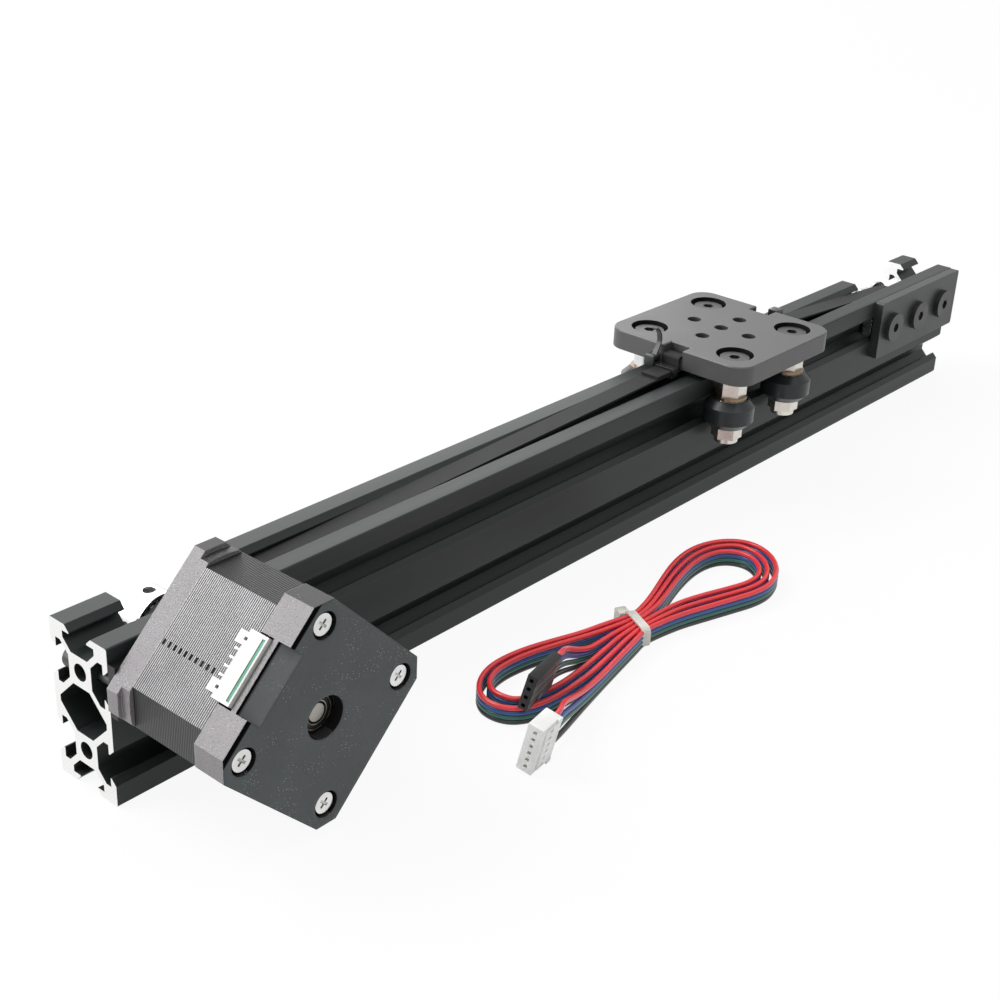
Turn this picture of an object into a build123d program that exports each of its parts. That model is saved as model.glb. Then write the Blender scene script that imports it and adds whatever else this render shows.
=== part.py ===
# Belt-driven linear module on a 20 x 40 mm V-slot profile, in millimetres.
# X runs along the profile from its motor end, Y = 0 is its centre plane, Z = 0 its underside.
from build123d import *
import math
import os

os.makedirs("parts", exist_ok=True)

# Profile section
profile_length = 370.0
profile_width = 20.0
profile_height = 2 * profile_width
profile_corner = 0.5
slot_mouth = 9.16
slot_throat = 6.25
slot_lip = 1.8
slot_chamber = 11.0
core_size = 7.8
core_bore = 4.2
web = 1.5

# Windows milled from the left side, for the pulley and the idler
near_window_start = 14.5
near_window_length = 27.0
far_window_length = 32.0
far_window_from_end = 11.0
window_back = 5.5
window_floor_below_axis = 9.0
cutter_radius = 2.0

# Belt and pulleys, 2 mm pitch
belt_pitch = 2.0
belt_width = 6.0
belt_land = 0.63
belt_back_to_pitch = 0.376
belt_gap = 0.06
pulley_teeth = 20
tooth_groove_radius = 0.58
pulley_face = 7.2
flange_thickness = 1.0
flange_radius = 7.6
hub_radius = 7.0
hub_length = 7.0
grub_radius = 1.5
grub_from_end = 3.5

# Motor
motor_x = 25.0
motor_side = 42.3
motor_spacer = 2.4
front_bell_length = 6.0
stator_length = 22.0
rear_cover_length = 8.6
bell_corner_cut = 3.96
stator_corner_cut = 6.9
bell_step = 2.6
bell_turned_radius = 26.1
pilot_radius = 11.0
pilot_height = 2.0
motor_screw_spacing = 31.0
motor_screw_radius = 1.5
motor_screw_head = 2.5
motor_screw_recess = 3.15
motor_screw_recess_depth = 2.6
motor_screw_front = 4.0
shaft_radius = 2.5
shaft_reach = 24.0
shaft_flat = 0.5
shaft_rear_set_back = 2.6
rear_hole_radius = 5.0
bearing_outer = 8.0
bearing_width = 5.0
bearing_lip = 1.0
bell_wall = 2.6
stator_bore = 17.0
pole_count = 8
pole_width = 4.6
rotor_radius = 11.0
air_gap = 0.4
rotor_end_gap = 2.0
winding_height = 4.2
winding_overhang = 1.6
fixing_screw_head = 2.75
fixing_screw_head_height = 3.0
spacer_block_length = 6.0
spacer_block_height = 13.0

# Motor socket, on the upper left face between two ears of the rear cover
socket_contacts = 4
socket_pitch = 2.0
socket_length = 15.6
socket_block = 5.2
socket_tab_length = 2.4
socket_tab_width = 2.85
socket_tab_inset = 0.9
socket_on_stator = 4.2
socket_gap = 0.4
socket_depth = 6.0
socket_wall = 1.0
socket_proud = 0.9
socket_foot = 0.05
socket_tooth_length = 1.0
socket_tooth_width = 0.5
socket_pin = 0.5
board_thickness = 0.8
board_from_rear = 0.5
rim_width = 1.4
rim_drop = 0.8
rim_ramp = 4.5

# Idler
idler_from_end = 28.5
idler_plate_length = 54.0
idler_plate_height = 20.0
idler_plate_thickness = 3.0
idler_screw_pitch = 17.5
m5_radius = 2.5
m5_clearance = 0.15
m5_head_radius = 4.4
m5_head_height = 1.6
m5_head_recess_radius = 5.6
m5_head_recess = 2.5
proud_head_radius = 4.9
proud_head_height = 1.8
m5_hex = 3.0
m5_hex_depth = 1.0
nut_width = 8.0
nut_height = 5.0
nut_dome = 1.4
tee_nut_length = 10.0
tee_nut_thickness = 3.2
tee_nut_gap = 0.15
idler_bearing_outer = 5.0
idler_bearing_width = 4.0
idler_sleeve_wall = 0.55
running_gap = 0.05
washer_radius = 4.5
washer_thickness = 0.4

# Gantry plate
carriage_x = 236.8
plate_size = 50.0
plate_thickness = 6.0
plate_gap = 2.0
plate_corner = 6.0
tapped_hole_radius = 2.15
plus_pitch = 10.0
notch_width = 7.0
notch_depth = 4.2
sill_thickness = 1.9
sill_height = 3.0
belt_plate_gap = 0.2

# Wheels
wheel_spacing_x = 31.3
wheel_from_centre = 15.6
wheel_radius = 7.615
wheel_width = 8.8
wheel_crown = 4.7
wheel_bearing_width = 4.0
wheel_shim = 1.0
wheel_bearing_outer = 5.0
brass_shim_radius = 5.0
brass_shim_thickness = 1.0
hex_spacer_width = 8.0
round_spacer_radius = 4.0
wheel_screw_length = 24.5

# Cable ties on the belt ends
near_tie_from_plate = 3.0
far_tie_from_plate = 6.0
tie_width = 2.5
tie_thickness = 0.5
tie_head = 3.6
belt_fold_length = 12.0

# Loose cable
wire_diameter = 1.3
wire_count = 4
white_plug_height = 13.4
white_plug_length = 7.8
white_plug_thickness = 4.6
black_plug_height = 10.2
black_plug_length = 12.6
black_plug_thickness = 2.6
plug_ways = 6
plug_pitch = 2.0
pin_pitch = 2.54
cable_tie_width = 2.6
cable_tie_wall = 0.6
cable_tie_span = 12.0

# Places that follow from the sizes above
half_width = profile_width / 2
axis_z = profile_height - half_width
idler_x = profile_length - idler_from_end
lower_axis_z = half_width
pitch_radius = pulley_teeth * belt_pitch / (2 * math.pi)
land_radius = pitch_radius + belt_back_to_pitch - belt_land
pulley_tip_radius = land_radius - belt_gap
belt_line_radius = land_radius + belt_land / 2
window_floor = axis_z - window_floor_below_axis
window_roof = profile_height - slot_lip
motor_face = half_width + motor_spacer
stator_front = motor_face + front_bell_length
rear_cover_front = stator_front + stator_length
motor_rear = rear_cover_front + rear_cover_length
motor_diagonal = motor_screw_spacing * math.sqrt(0.5)
shaft_end = shaft_reach - motor_face
plate_bottom = profile_height + plate_gap
plate_top = plate_bottom + plate_thickness
belt_line_z = plate_bottom - belt_plate_gap - belt_land / 2
wheel_bearing_stack = 2 * wheel_bearing_width + wheel_shim
wheel_top = axis_z + wheel_bearing_stack / 2
wheel_bottom = axis_z - wheel_bearing_stack / 2
wheel_x = (carriage_x - wheel_spacing_x / 2, carriage_x + wheel_spacing_x / 2)
idler_screw_x = (idler_x - idler_screw_pitch, idler_x + idler_screw_pitch)
fixing_x = (motor_x - motor_diagonal, motor_x + motor_diagonal)
ribbon_height = wire_diameter * wire_count


def write(piece, label):
    piece.part.label = label
    export_step(piece.part, f"parts/{label}.step")


def round_along_y(x, z, depth, length, radius, mode=Mode.ADD):
    """A cylinder that starts at Y = -depth and runs towards -Y."""
    with BuildSketch(Plane.XZ.offset(depth)) as disc:
        with Locations((x, z)):
            Circle(radius)
    extrude(disc.sketch, amount=length, mode=mode)


def hexagon_along_y(x, z, depth, length, across_flats, mode=Mode.ADD):
    with BuildSketch(Plane.XZ.offset(depth)) as hexagon:
        with Locations((x, z)):
            RegularPolygon(across_flats / 2, 6, major_radius=False)
    extrude(hexagon.sketch, amount=length, mode=mode)


def round_along_z(x, y, bottom, length, radius, mode=Mode.ADD):
    with BuildSketch(Plane.XY.offset(bottom)) as disc:
        with Locations((x, y)):
            Circle(radius)
    extrude(disc.sketch, amount=length, mode=mode)


def hexagon_along_z(x, y, bottom, length, across_flats, mode=Mode.ADD):
    with BuildSketch(Plane.XY.offset(bottom)) as hexagon:
        with Locations((x, y)):
            RegularPolygon(across_flats / 2, 6, major_radius=False)
    extrude(hexagon.sketch, amount=length, mode=mode)


def motor_block(depth, length, corner_cut):
    """A slice of the motor's body: a square on its corner with its corners cut."""
    with BuildSketch(Plane.XZ.offset(depth)) as outline:
        with Locations((motor_x, axis_z)):
            Rectangle(motor_side, motor_side, rotation=45)
        chamfer(outline.vertices(), length=corner_cut)
    extrude(outline.sketch, amount=length)


# Profile: the section is drawn looking along the bar and extruded over its length
with BuildPart() as profile:
    with BuildSketch(Plane.YZ) as section:
        with Locations((0, profile_height / 2)):
            Rectangle(profile_width, profile_height)
        fillet(section.vertices(), radius=profile_corner)
        wall_inside = half_width - slot_lip
        diagonal_half = web / 2 * math.sqrt(2)
        floor_half = core_size / 2
        corner_rise = wall_inside + diagonal_half
        with BuildLine():
            Polyline(
                (-floor_half + diagonal_half, axis_z - floor_half),
                (floor_half - diagonal_half, axis_z - floor_half),
                (wall_inside, axis_z - corner_rise),
                (wall_inside, lower_axis_z + corner_rise),
                (floor_half - diagonal_half, lower_axis_z + floor_half),
                (-floor_half + diagonal_half, lower_axis_z + floor_half),
                (-wall_inside, lower_axis_z + corner_rise),
                (-wall_inside, axis_z - corner_rise),
                close=True,
            )
        make_face(mode=Mode.SUBTRACT)
        with Locations((0, axis_z), (0, lower_axis_z)):
            Circle(core_bore / 2, mode=Mode.SUBTRACT)
    extrude(amount=profile_length)
    slot_floor = core_size / 2
    slot_diagonal = web / 2 * math.sqrt(2)
    bevel = (slot_mouth - slot_throat) / 2
    right_half = [
        (slot_mouth / 2, half_width),
        (slot_throat / 2, half_width - bevel),
        (slot_throat / 2, half_width - slot_lip),
        (slot_chamber / 2, half_width - slot_lip),
        (slot_chamber / 2, slot_chamber / 2 + slot_diagonal),
        (slot_floor - slot_diagonal, slot_floor),
    ]
    slot_points = right_half + [(-y, z) for y, z in reversed(right_half)]
    for centre, turns in ((axis_z, (0, 90, 270)), (lower_axis_z, (90, 180, 270))):
        for turn in turns:
            with BuildSketch(Plane.YZ):
                with BuildLine():
                    Polyline(*[Vector(y, z).rotate(Axis.Z, turn) + Vector(0, centre) for y, z in slot_points],
                             close=True)
                make_face()
            extrude(amount=profile_length, mode=Mode.SUBTRACT)
    near_window_centre = near_window_start + near_window_length / 2
    far_window_centre = profile_length - far_window_from_end - far_window_length / 2
    for centre_x, length in ((near_window_centre, near_window_length), (far_window_centre, far_window_length)):
        with BuildSketch(Plane.XZ.offset(window_back)) as window:
            with Locations((centre_x, (window_floor + window_roof) / 2)):
                Rectangle(length, window_roof - window_floor)
            fillet(window.vertices().group_by(Axis.Y)[0], radius=cutter_radius)
        extrude(amount=-(window_back + half_width), mode=Mode.SUBTRACT)
        with BuildSketch(Plane.XZ):
            with Locations((centre_x, (axis_z + profile_height) / 2)):
                Rectangle(length, profile_height - axis_z)
        extrude(amount=-half_width, mode=Mode.SUBTRACT)
    for x in fixing_x:
        round_along_y(x, axis_z, -half_width, profile_width, motor_screw_radius + 0.2, Mode.SUBTRACT)
write(profile, "profile")


# Motor housing
with BuildPart() as motor_front_bell:
    motor_block(motor_face, front_bell_length - bell_step, bell_corner_cut)
    with BuildPart(mode=Mode.PRIVATE) as turned_step:
        motor_block(stator_front - bell_step, bell_step, bell_corner_cut)
        round_along_y(motor_x, axis_z, stator_front - bell_step, bell_step, bell_turned_radius, Mode.INTERSECT)
    add(turned_step.part)
    round_along_y(motor_x, axis_z, motor_face - pilot_height, pilot_height, pilot_radius)
    seat_depth = stator_front - bearing_width - bearing_lip
    round_along_y(motor_x, axis_z, seat_depth, bearing_width + bearing_lip, bearing_outer, Mode.SUBTRACT)
    round_along_y(motor_x, axis_z, motor_face - pilot_height, pilot_height + front_bell_length,
                  bearing_outer - 3 * bearing_lip, Mode.SUBTRACT)
    with Locations(Plane.XZ.offset(motor_face) * Location((motor_x, axis_z, 0), 45)):
        with GridLocations(motor_screw_spacing, motor_screw_spacing, 2, 2):
            Cylinder(motor_screw_radius + running_gap, front_bell_length,
                     align=(Align.CENTER, Align.CENTER, Align.MIN), mode=Mode.SUBTRACT)
    edges_front = motor_front_bell.faces().filter_by(Plane.XZ).sort_by(Axis.Y)[-1].outer_wire().edges()
    chamfer(edges_front, length=0.3)
write(motor_front_bell, "motor_front_bell")

with BuildPart() as motor_stator:
    motor_block(stator_front, stator_length, stator_corner_cut)
    round_along_y(motor_x, axis_z, stator_front, stator_length, stator_bore, Mode.SUBTRACT)
    pole_end = rotor_radius + air_gap
    pole_depth = winding_overhang + 0.4
    with BuildSketch(Plane.XZ.offset(stator_front + pole_depth)) as poles:
        with Locations((motor_x, axis_z)):
            with PolarLocations((pole_end + stator_bore + 1) / 2, pole_count, start_angle=22.5):
                Rectangle(stator_bore + 1 - pole_end, pole_width)
    extrude(amount=stator_length - 2 * pole_depth)
    round_along_y(motor_x, axis_z, stator_front, stator_length, pole_end, Mode.SUBTRACT)
    with Locations(Plane.XZ.offset(stator_front) * Location((motor_x, axis_z, 0), 45)):
        with GridLocations(motor_screw_spacing, motor_screw_spacing, 2, 2):
            Cylinder(motor_screw_radius + 0.15, stator_length,
                     align=(Align.CENTER, Align.CENTER, Align.MIN), mode=Mode.SUBTRACT)
write(motor_stator, "motor_stator")

with BuildPart() as motor_windings:
    coil_reach = pole_end + 0.6
    coil_depth = stator_front + pole_depth - winding_overhang
    coil_length = stator_length - 2 * pole_depth + 2 * winding_overhang
    with BuildSketch(Plane.XZ.offset(coil_depth)):
        with Locations((motor_x, axis_z)):
            with PolarLocations(coil_reach + winding_height / 2, pole_count, start_angle=22.5):
                Rectangle(winding_height, pole_width + 2.4)
    extrude(amount=coil_length)
    with BuildSketch(Plane.XZ.offset(coil_depth + winding_overhang)):
        with Locations((motor_x, axis_z)):
            with PolarLocations(coil_reach + winding_height / 2, pole_count, start_angle=22.5):
                Rectangle(winding_height + 1, pole_width + 0.1)
    extrude(amount=coil_length - 2 * winding_overhang, mode=Mode.SUBTRACT)
write(motor_windings, "motor_windings")

ear_spread = socket_length + 2 * socket_gap
socket_reach = socket_tab_length + socket_block
socket_pocket = socket_reach - socket_on_stator + socket_gap
with BuildPart() as motor_rear_cover:
    motor_block(rear_cover_front, rear_cover_length, bell_corner_cut)
    round_along_y(motor_x, axis_z, rear_cover_front, bearing_lip + bearing_width, bearing_outer, Mode.SUBTRACT)
    round_along_y(motor_x, axis_z, rear_cover_front, rear_cover_length, rear_hole_radius, Mode.SUBTRACT)
    with Locations(Plane.XZ.offset(rear_cover_front) * Location((motor_x, axis_z, 0), 45)):
        with GridLocations(motor_screw_spacing, motor_screw_spacing, 2, 2):
            Cylinder(motor_screw_radius + 0.15, rear_cover_length,
                     align=(Align.CENTER, Align.CENTER, Align.MIN), mode=Mode.SUBTRACT)
    with Locations(Plane.XZ.offset(motor_rear - motor_screw_recess_depth)
                   * Location((motor_x, axis_z, 0), 45)):
        with GridLocations(motor_screw_spacing, motor_screw_spacing, 2, 2):
            Cylinder(motor_screw_recess, motor_screw_recess_depth,
                     align=(Align.CENTER, Align.CENTER, Align.MIN), mode=Mode.SUBTRACT)
    with Locations(Plane.XZ.offset(rear_cover_front) * Location((motor_x, axis_z, 0), 45)
                   * Location((0, motor_side / 2, 0))):
        Box(ear_spread, 2 * (socket_depth + socket_gap), socket_pocket,
            align=(Align.CENTER, Align.CENTER, Align.MIN), mode=Mode.SUBTRACT)
    # Behind the socket a low rim stays, and the cover slopes from it down to the rear face
    rim_end = rear_cover_front + socket_pocket + rim_width
    rim_top = -motor_side / 2
    across_ears = Plane(origin=(motor_x, 0, axis_z), x_dir=(0, -1, 0), z_dir=(1, 0, 1))
    with BuildSketch(across_ears.offset(-ear_spread / 2)):
        with BuildLine():
            Polyline(
                (rim_end, rim_top - 1),
                (rim_end, rim_top + rim_drop),
                (motor_rear + 0.1, rim_top + rim_ramp),
                (motor_rear + 0.1, rim_top - 1),
                close=True,
            )
        make_face()
    extrude(amount=ear_spread, mode=Mode.SUBTRACT)
write(motor_rear_cover, "motor_rear_cover")

# The long screws run from the rear cover through the stator into the front bell
with BuildPart() as motor_screws:
    screw_seat = motor_rear - motor_screw_recess_depth
    with Locations(Plane.XZ.offset(motor_face + motor_screw_front) * Location((motor_x, axis_z, 0), 45)):
        with GridLocations(motor_screw_spacing, motor_screw_spacing, 2, 2):
            Cylinder(motor_screw_radius, screw_seat - motor_face - motor_screw_front,
                     align=(Align.CENTER, Align.CENTER, Align.MIN))
    with Locations(Plane.XZ.offset(screw_seat) * Location((motor_x, axis_z, 0), 45)):
        with GridLocations(motor_screw_spacing, motor_screw_spacing, 2, 2):
            Cylinder(motor_screw_head, motor_screw_recess_depth - 0.6,
                     align=(Align.CENTER, Align.CENTER, Align.MIN))
    with Locations(Plane.XZ.offset(motor_rear - 1.8) * Location((motor_x, axis_z, 0), 45)):
        with GridLocations(motor_screw_spacing, motor_screw_spacing, 2, 2):
            Box(2.6, 0.6, 2, align=(Align.CENTER, Align.CENTER, Align.MIN), mode=Mode.SUBTRACT)
            Box(0.6, 2.6, 2, align=(Align.CENTER, Align.CENTER, Align.MIN), mode=Mode.SUBTRACT)
write(motor_screws, "motor_screws")


def ball_bearing(x, z, depth, outer, width, bore):
    """Rings and shield as one ring-shaped solid, with the shield a little below both faces."""
    ring = (outer - bore) * 0.28
    with BuildSketch(Plane.XZ.offset(depth)) as rings:
        with Locations((x, z)):
            Circle(outer)
            Circle(bore, mode=Mode.SUBTRACT)
    extrude(rings.sketch, amount=width)
    for start in (depth, depth + width - 0.3):
        with BuildSketch(Plane.XZ.offset(start)) as shield:
            with Locations((x, z)):
                Circle(outer - ring)
                Circle(bore + ring, mode=Mode.SUBTRACT)
        extrude(shield.sketch, amount=0.3, mode=Mode.SUBTRACT)


with BuildPart() as front_bearing:
    ball_bearing(motor_x, axis_z, seat_depth, bearing_outer, bearing_width, shaft_radius + running_gap)
write(front_bearing, "front_bearing")

with BuildPart() as rear_bearing:
    ball_bearing(motor_x, axis_z, rear_cover_front + bearing_lip, bearing_outer, bearing_width,
                 shaft_radius + running_gap)
write(rear_bearing, "rear_bearing")

# The socket stands in its own frame: x along the motor's face, y towards its front, z out of it
socket_plane = Plane(
    origin=(motor_x - motor_side / 2 * math.sqrt(0.5), -(rear_cover_front - socket_on_stator),
            axis_z + motor_side / 2 * math.sqrt(0.5)),
    x_dir=(1, 0, 1),
    z_dir=(-1, 0, 1),
)
tab_x = socket_length / 2 - socket_tab_inset - socket_tab_width / 2
board_y = -(socket_reach - board_from_rear - board_thickness / 2)
board_slot = board_thickness + 2 * running_gap
slot_length = socket_length - 2 * socket_wall + 0.4
with BuildPart() as motor_socket:
    with BuildSketch(socket_plane.offset(socket_proud)):
        with Locations((0, -socket_tab_length)):
            Rectangle(socket_length, socket_block, align=(Align.CENTER, Align.MAX))
        with Locations((-tab_x, 0), (tab_x, 0)):
            Rectangle(socket_tab_width, socket_tab_length + 1, align=(Align.CENTER, Align.MAX))
        with Locations((0, -socket_tab_length)):
            with GridLocations(socket_pitch, 1, socket_contacts, 1):
                Rectangle(socket_tooth_width, 2 * socket_tooth_length)
        with Locations((-tab_x, -socket_tab_length), (tab_x, -socket_tab_length)):
            Rectangle(0.7, 0.9, mode=Mode.SUBTRACT)
    extrude(amount=-(socket_proud - socket_foot))
    with BuildSketch(socket_plane.offset(socket_proud)):
        with Locations((0, -socket_on_stator - socket_gap)):
            Rectangle(socket_length, socket_reach - socket_on_stator - socket_gap,
                      align=(Align.CENTER, Align.MAX))
    extrude(amount=-(socket_depth + socket_proud))
    with BuildSketch(socket_plane.offset(socket_proud)):
        with Locations((0, board_y)):
            Rectangle(slot_length, board_slot)
    extrude(amount=-(socket_depth + socket_proud - socket_wall), mode=Mode.SUBTRACT)
write(motor_socket, "motor_socket")

with BuildPart() as circuit_board:
    board_height = socket_depth - socket_wall + socket_proud - 0.15
    with Locations(socket_plane.offset(-(socket_depth - socket_wall)) * Location((0, board_y, 0))):
        Box(slot_length - 2 * running_gap, board_thickness, board_height,
            align=(Align.CENTER, Align.CENTER, Align.MIN))
write(circuit_board, "circuit_board")

with BuildPart() as socket_pins:
    pin_tip = -socket_tab_length + socket_tooth_length
    with Locations(socket_plane.offset(socket_proud / 2) * Location((0, pin_tip, 0))):
        with GridLocations(socket_pitch, 1, socket_contacts, 1):
            Box(socket_pin, socket_pin, socket_pin, align=(Align.CENTER, Align.MIN, Align.CENTER))
write(socket_pins, "socket_pins")

# Turning parts of the motor
with BuildPart() as motor_shaft:
    rear_end = motor_rear - shaft_rear_set_back
    round_along_y(motor_x, axis_z, -shaft_end, rear_end + shaft_end, shaft_radius)
    flat_length = shaft_reach - pilot_height - 2
    with Locations((motor_x, shaft_end - flat_length / 2, axis_z + shaft_radius)):
        Box(2 * shaft_radius, flat_length, 2 * shaft_flat, mode=Mode.SUBTRACT)
    chamfer(motor_shaft.edges().filter_by(GeomType.CIRCLE).sort_by(Axis.Y)[0], length=0.4)
write(motor_shaft, "motor_shaft")

with BuildPart() as motor_rotor:
    rotor_front = stator_front + rotor_end_gap
    rotor_length = stator_length - 2 * rotor_end_gap
    magnet_length = 2.4
    cup_length = (rotor_length - magnet_length) / 2
    round_along_y(motor_x, axis_z, rotor_front, cup_length, rotor_radius)
    round_along_y(motor_x, axis_z, rotor_front + cup_length, magnet_length, rotor_radius - 0.6)
    round_along_y(motor_x, axis_z, rotor_front + cup_length + magnet_length, cup_length, rotor_radius)
    round_along_y(motor_x, axis_z, rotor_front, rotor_length, shaft_radius + 0.01, Mode.SUBTRACT)
write(motor_rotor, "motor_rotor")


def toothed_rim(x, depth, length):
    """The toothed band of a belt pulley."""
    with BuildSketch(Plane.XZ.offset(depth)) as rim:
        with Locations((x, axis_z)):
            Circle(pulley_tip_radius)
            with PolarLocations(pulley_tip_radius - 0.15, pulley_teeth):
                Circle(tooth_groove_radius, mode=Mode.SUBTRACT)
    extrude(rim.sketch, amount=length)


def flange(x, depth):
    round_along_y(x, axis_z, depth, flange_thickness, flange_radius)


hub_start = pulley_face / 2 + flange_thickness
grub_y = hub_start + hub_length - grub_from_end
with BuildPart() as drive_pulley:
    toothed_rim(motor_x, -pulley_face / 2, pulley_face)
    flange(motor_x, pulley_face / 2)
    flange(motor_x, -hub_start)
    round_along_y(motor_x, axis_z, -hub_start - hub_length, hub_length, hub_radius)
    chamfer(drive_pulley.edges().filter_by(GeomType.CIRCLE).sort_by(Axis.Y)[-1], length=0.5)
    round_along_y(motor_x, axis_z, -hub_start - hub_length, hub_length + 2 * hub_start, shaft_radius + 0.01,
                  Mode.SUBTRACT)
    with Locations((motor_x, grub_y, axis_z)):
        Cylinder(grub_radius, hub_radius + 1, align=(Align.CENTER, Align.CENTER, Align.MIN), mode=Mode.SUBTRACT)
    with Locations(Location((motor_x, grub_y, axis_z), (0, -90, 0))):
        Cylinder(grub_radius, hub_radius + 1, align=(Align.CENTER, Align.CENTER, Align.MIN), mode=Mode.SUBTRACT)
write(drive_pulley, "drive_pulley")

with BuildPart() as pulley_grub_screws:
    grub_length = hub_radius - shaft_radius - 0.5
    for turn, foot in ((0, shaft_radius - shaft_flat), (-90, shaft_radius)):
        with Locations(Location((motor_x, grub_y, axis_z), (0, turn, 0)) * Location((0, 0, foot + 0.05))):
            Cylinder(grub_radius - running_gap, grub_length, align=(Align.CENTER, Align.CENTER, Align.MIN))
        with Locations(Location((motor_x, grub_y, axis_z), (0, turn, 0))
                       * Location((0, 0, foot + 0.05 + grub_length - 1.2))):
            with BuildSketch(mode=Mode.PRIVATE) as socket_hexagon:
                RegularPolygon(0.75, 6, major_radius=False)
            extrude(socket_hexagon.sketch, amount=2, mode=Mode.SUBTRACT)
write(pulley_grub_screws, "pulley_grub_screws")

# Motor fixing: two screws from the left slot's floor, and the spacers that clear the pilot boss
with BuildPart() as motor_fixing_screws:
    head_seat = core_size / 2
    screw_tip = motor_face + 3.7
    for x in fixing_x:
        round_along_y(x, axis_z, -head_seat, screw_tip + head_seat, motor_screw_radius - running_gap)
        round_along_y(x, axis_z, -head_seat - fixing_screw_head_height, fixing_screw_head_height,
                      fixing_screw_head)
        hexagon_along_y(x, axis_z, -head_seat - fixing_screw_head_height, 1.5, 2.5, Mode.SUBTRACT)
write(motor_fixing_screws, "motor_fixing_screws")

with BuildPart() as motor_spacers:
    with BuildSketch(Plane.XZ.offset(half_width)) as spacer_faces:
        with Locations(*[(x, axis_z) for x in fixing_x]):
            Rectangle(spacer_block_length, spacer_block_height)
            Circle(motor_screw_radius + 0.2, mode=Mode.SUBTRACT)
    extrude(amount=motor_spacer)
write(motor_spacers, "motor_spacers")

# Idler: plate, low-head screws, tee nuts, axle stack and pulley
idler_plate_centre = profile_length - idler_plate_length / 2
with BuildPart() as idler_plate:
    with BuildSketch(Plane.XZ.offset(half_width)) as plate_face:
        with Locations((idler_plate_centre, axis_z)):
            Rectangle(idler_plate_length, idler_plate_height)
        fillet(plate_face.vertices(), radius=0.8)
        with Locations(*[(x, axis_z) for x in (*idler_screw_x, idler_x)]):
            Circle(m5_radius + m5_clearance, mode=Mode.SUBTRACT)
    extrude(amount=idler_plate_thickness)
write(idler_plate, "idler_plate")

head_seat_idler = half_width + idler_plate_thickness
tee_nut_front = half_width - slot_lip - tee_nut_gap


def low_head_screw_y(x, tip_depth):
    """A low-head M5 screw in the idler plate, its point at Y = -tip_depth."""
    round_along_y(x, axis_z, tip_depth, head_seat_idler - tip_depth, m5_radius)
    round_along_y(x, axis_z, head_seat_idler, proud_head_height, proud_head_radius)
    hexagon_along_y(x, axis_z, head_seat_idler + proud_head_height - m5_hex_depth, m5_hex_depth, m5_hex,
                    Mode.SUBTRACT)


with BuildPart() as idler_plate_screws:
    for x in idler_screw_x:
        low_head_screw_y(x, tee_nut_front - tee_nut_thickness)
write(idler_plate_screws, "idler_plate_screws")

with BuildPart() as tee_nuts:
    for x in idler_screw_x:
        with BuildSketch(Plane.YZ.offset(x - tee_nut_length / 2)):
            nut_half = slot_chamber / 2 - 0.3
            taper = 1.6
            with BuildLine():
                Polyline(
                    (-tee_nut_front, axis_z - nut_half),
                    (-tee_nut_front, axis_z + nut_half),
                    (-tee_nut_front + taper, axis_z + nut_half),
                    (-tee_nut_front + tee_nut_thickness, axis_z + nut_half - taper),
                    (-tee_nut_front + tee_nut_thickness, axis_z - nut_half + taper),
                    (-tee_nut_front + taper, axis_z - nut_half),
                    close=True,
                )
            make_face()
        extrude(amount=tee_nut_length)
        round_along_y(x, axis_z, 0, half_width, m5_radius + 0.02, Mode.SUBTRACT)
write(tee_nuts, "tee_nuts")

idler_inner = pulley_face / 2 + flange_thickness
axle_tip = idler_inner + washer_thickness + nut_height + 1.2
with BuildPart() as idler_axle_screw:
    low_head_screw_y(idler_x, -axle_tip)
write(idler_axle_screw, "idler_axle_screw")

bearing_gap_half = idler_inner - idler_bearing_width - 2 * running_gap
with BuildPart() as idler_axle_spacers:
    for start, length in ((idler_inner, half_width - idler_inner), (-bearing_gap_half, 2 * bearing_gap_half)):
        round_along_y(idler_x, axis_z, start, length, m5_radius + running_gap + idler_sleeve_wall)
        round_along_y(idler_x, axis_z, start, length, m5_radius + running_gap, Mode.SUBTRACT)
write(idler_axle_spacers, "idler_axle_spacers")

with BuildPart() as idler_axle_nut:
    nut_start = -idler_inner - washer_thickness - nut_height
    round_along_y(idler_x, axis_z, -idler_inner - washer_thickness, washer_thickness, washer_radius)
    hexagon_along_y(idler_x, axis_z, nut_start + nut_dome, nut_height - nut_dome, nut_width)
    round_along_y(idler_x, axis_z, nut_start, nut_dome, nut_width / 2 - 0.4)
    round_along_y(idler_x, axis_z, nut_start, nut_height + washer_thickness, m5_radius + 0.02, Mode.SUBTRACT)
write(idler_axle_nut, "idler_axle_nut")

with BuildPart() as idler_pulley:
    toothed_rim(idler_x, -pulley_face / 2, pulley_face)
    flange(idler_x, pulley_face / 2)
    flange(idler_x, -idler_inner)
    round_along_y(idler_x, axis_z, -idler_inner, 2 * idler_inner, idler_bearing_outer, Mode.SUBTRACT)
    round_along_y(idler_x, axis_z, -0.3, 0.6, idler_bearing_outer)
    round_along_y(idler_x, axis_z, -0.3, 0.6, idler_bearing_outer - 0.8, Mode.SUBTRACT)
write(idler_pulley, "idler_pulley")

with BuildPart() as idler_bearings:
    for depth in (-idler_inner + 0.05, idler_inner - 0.05 - idler_bearing_width):
        ball_bearing(idler_x, axis_z, depth, idler_bearing_outer - 0.01, idler_bearing_width,
                     m5_radius + running_gap)
write(idler_bearings, "idler_bearings")

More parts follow.
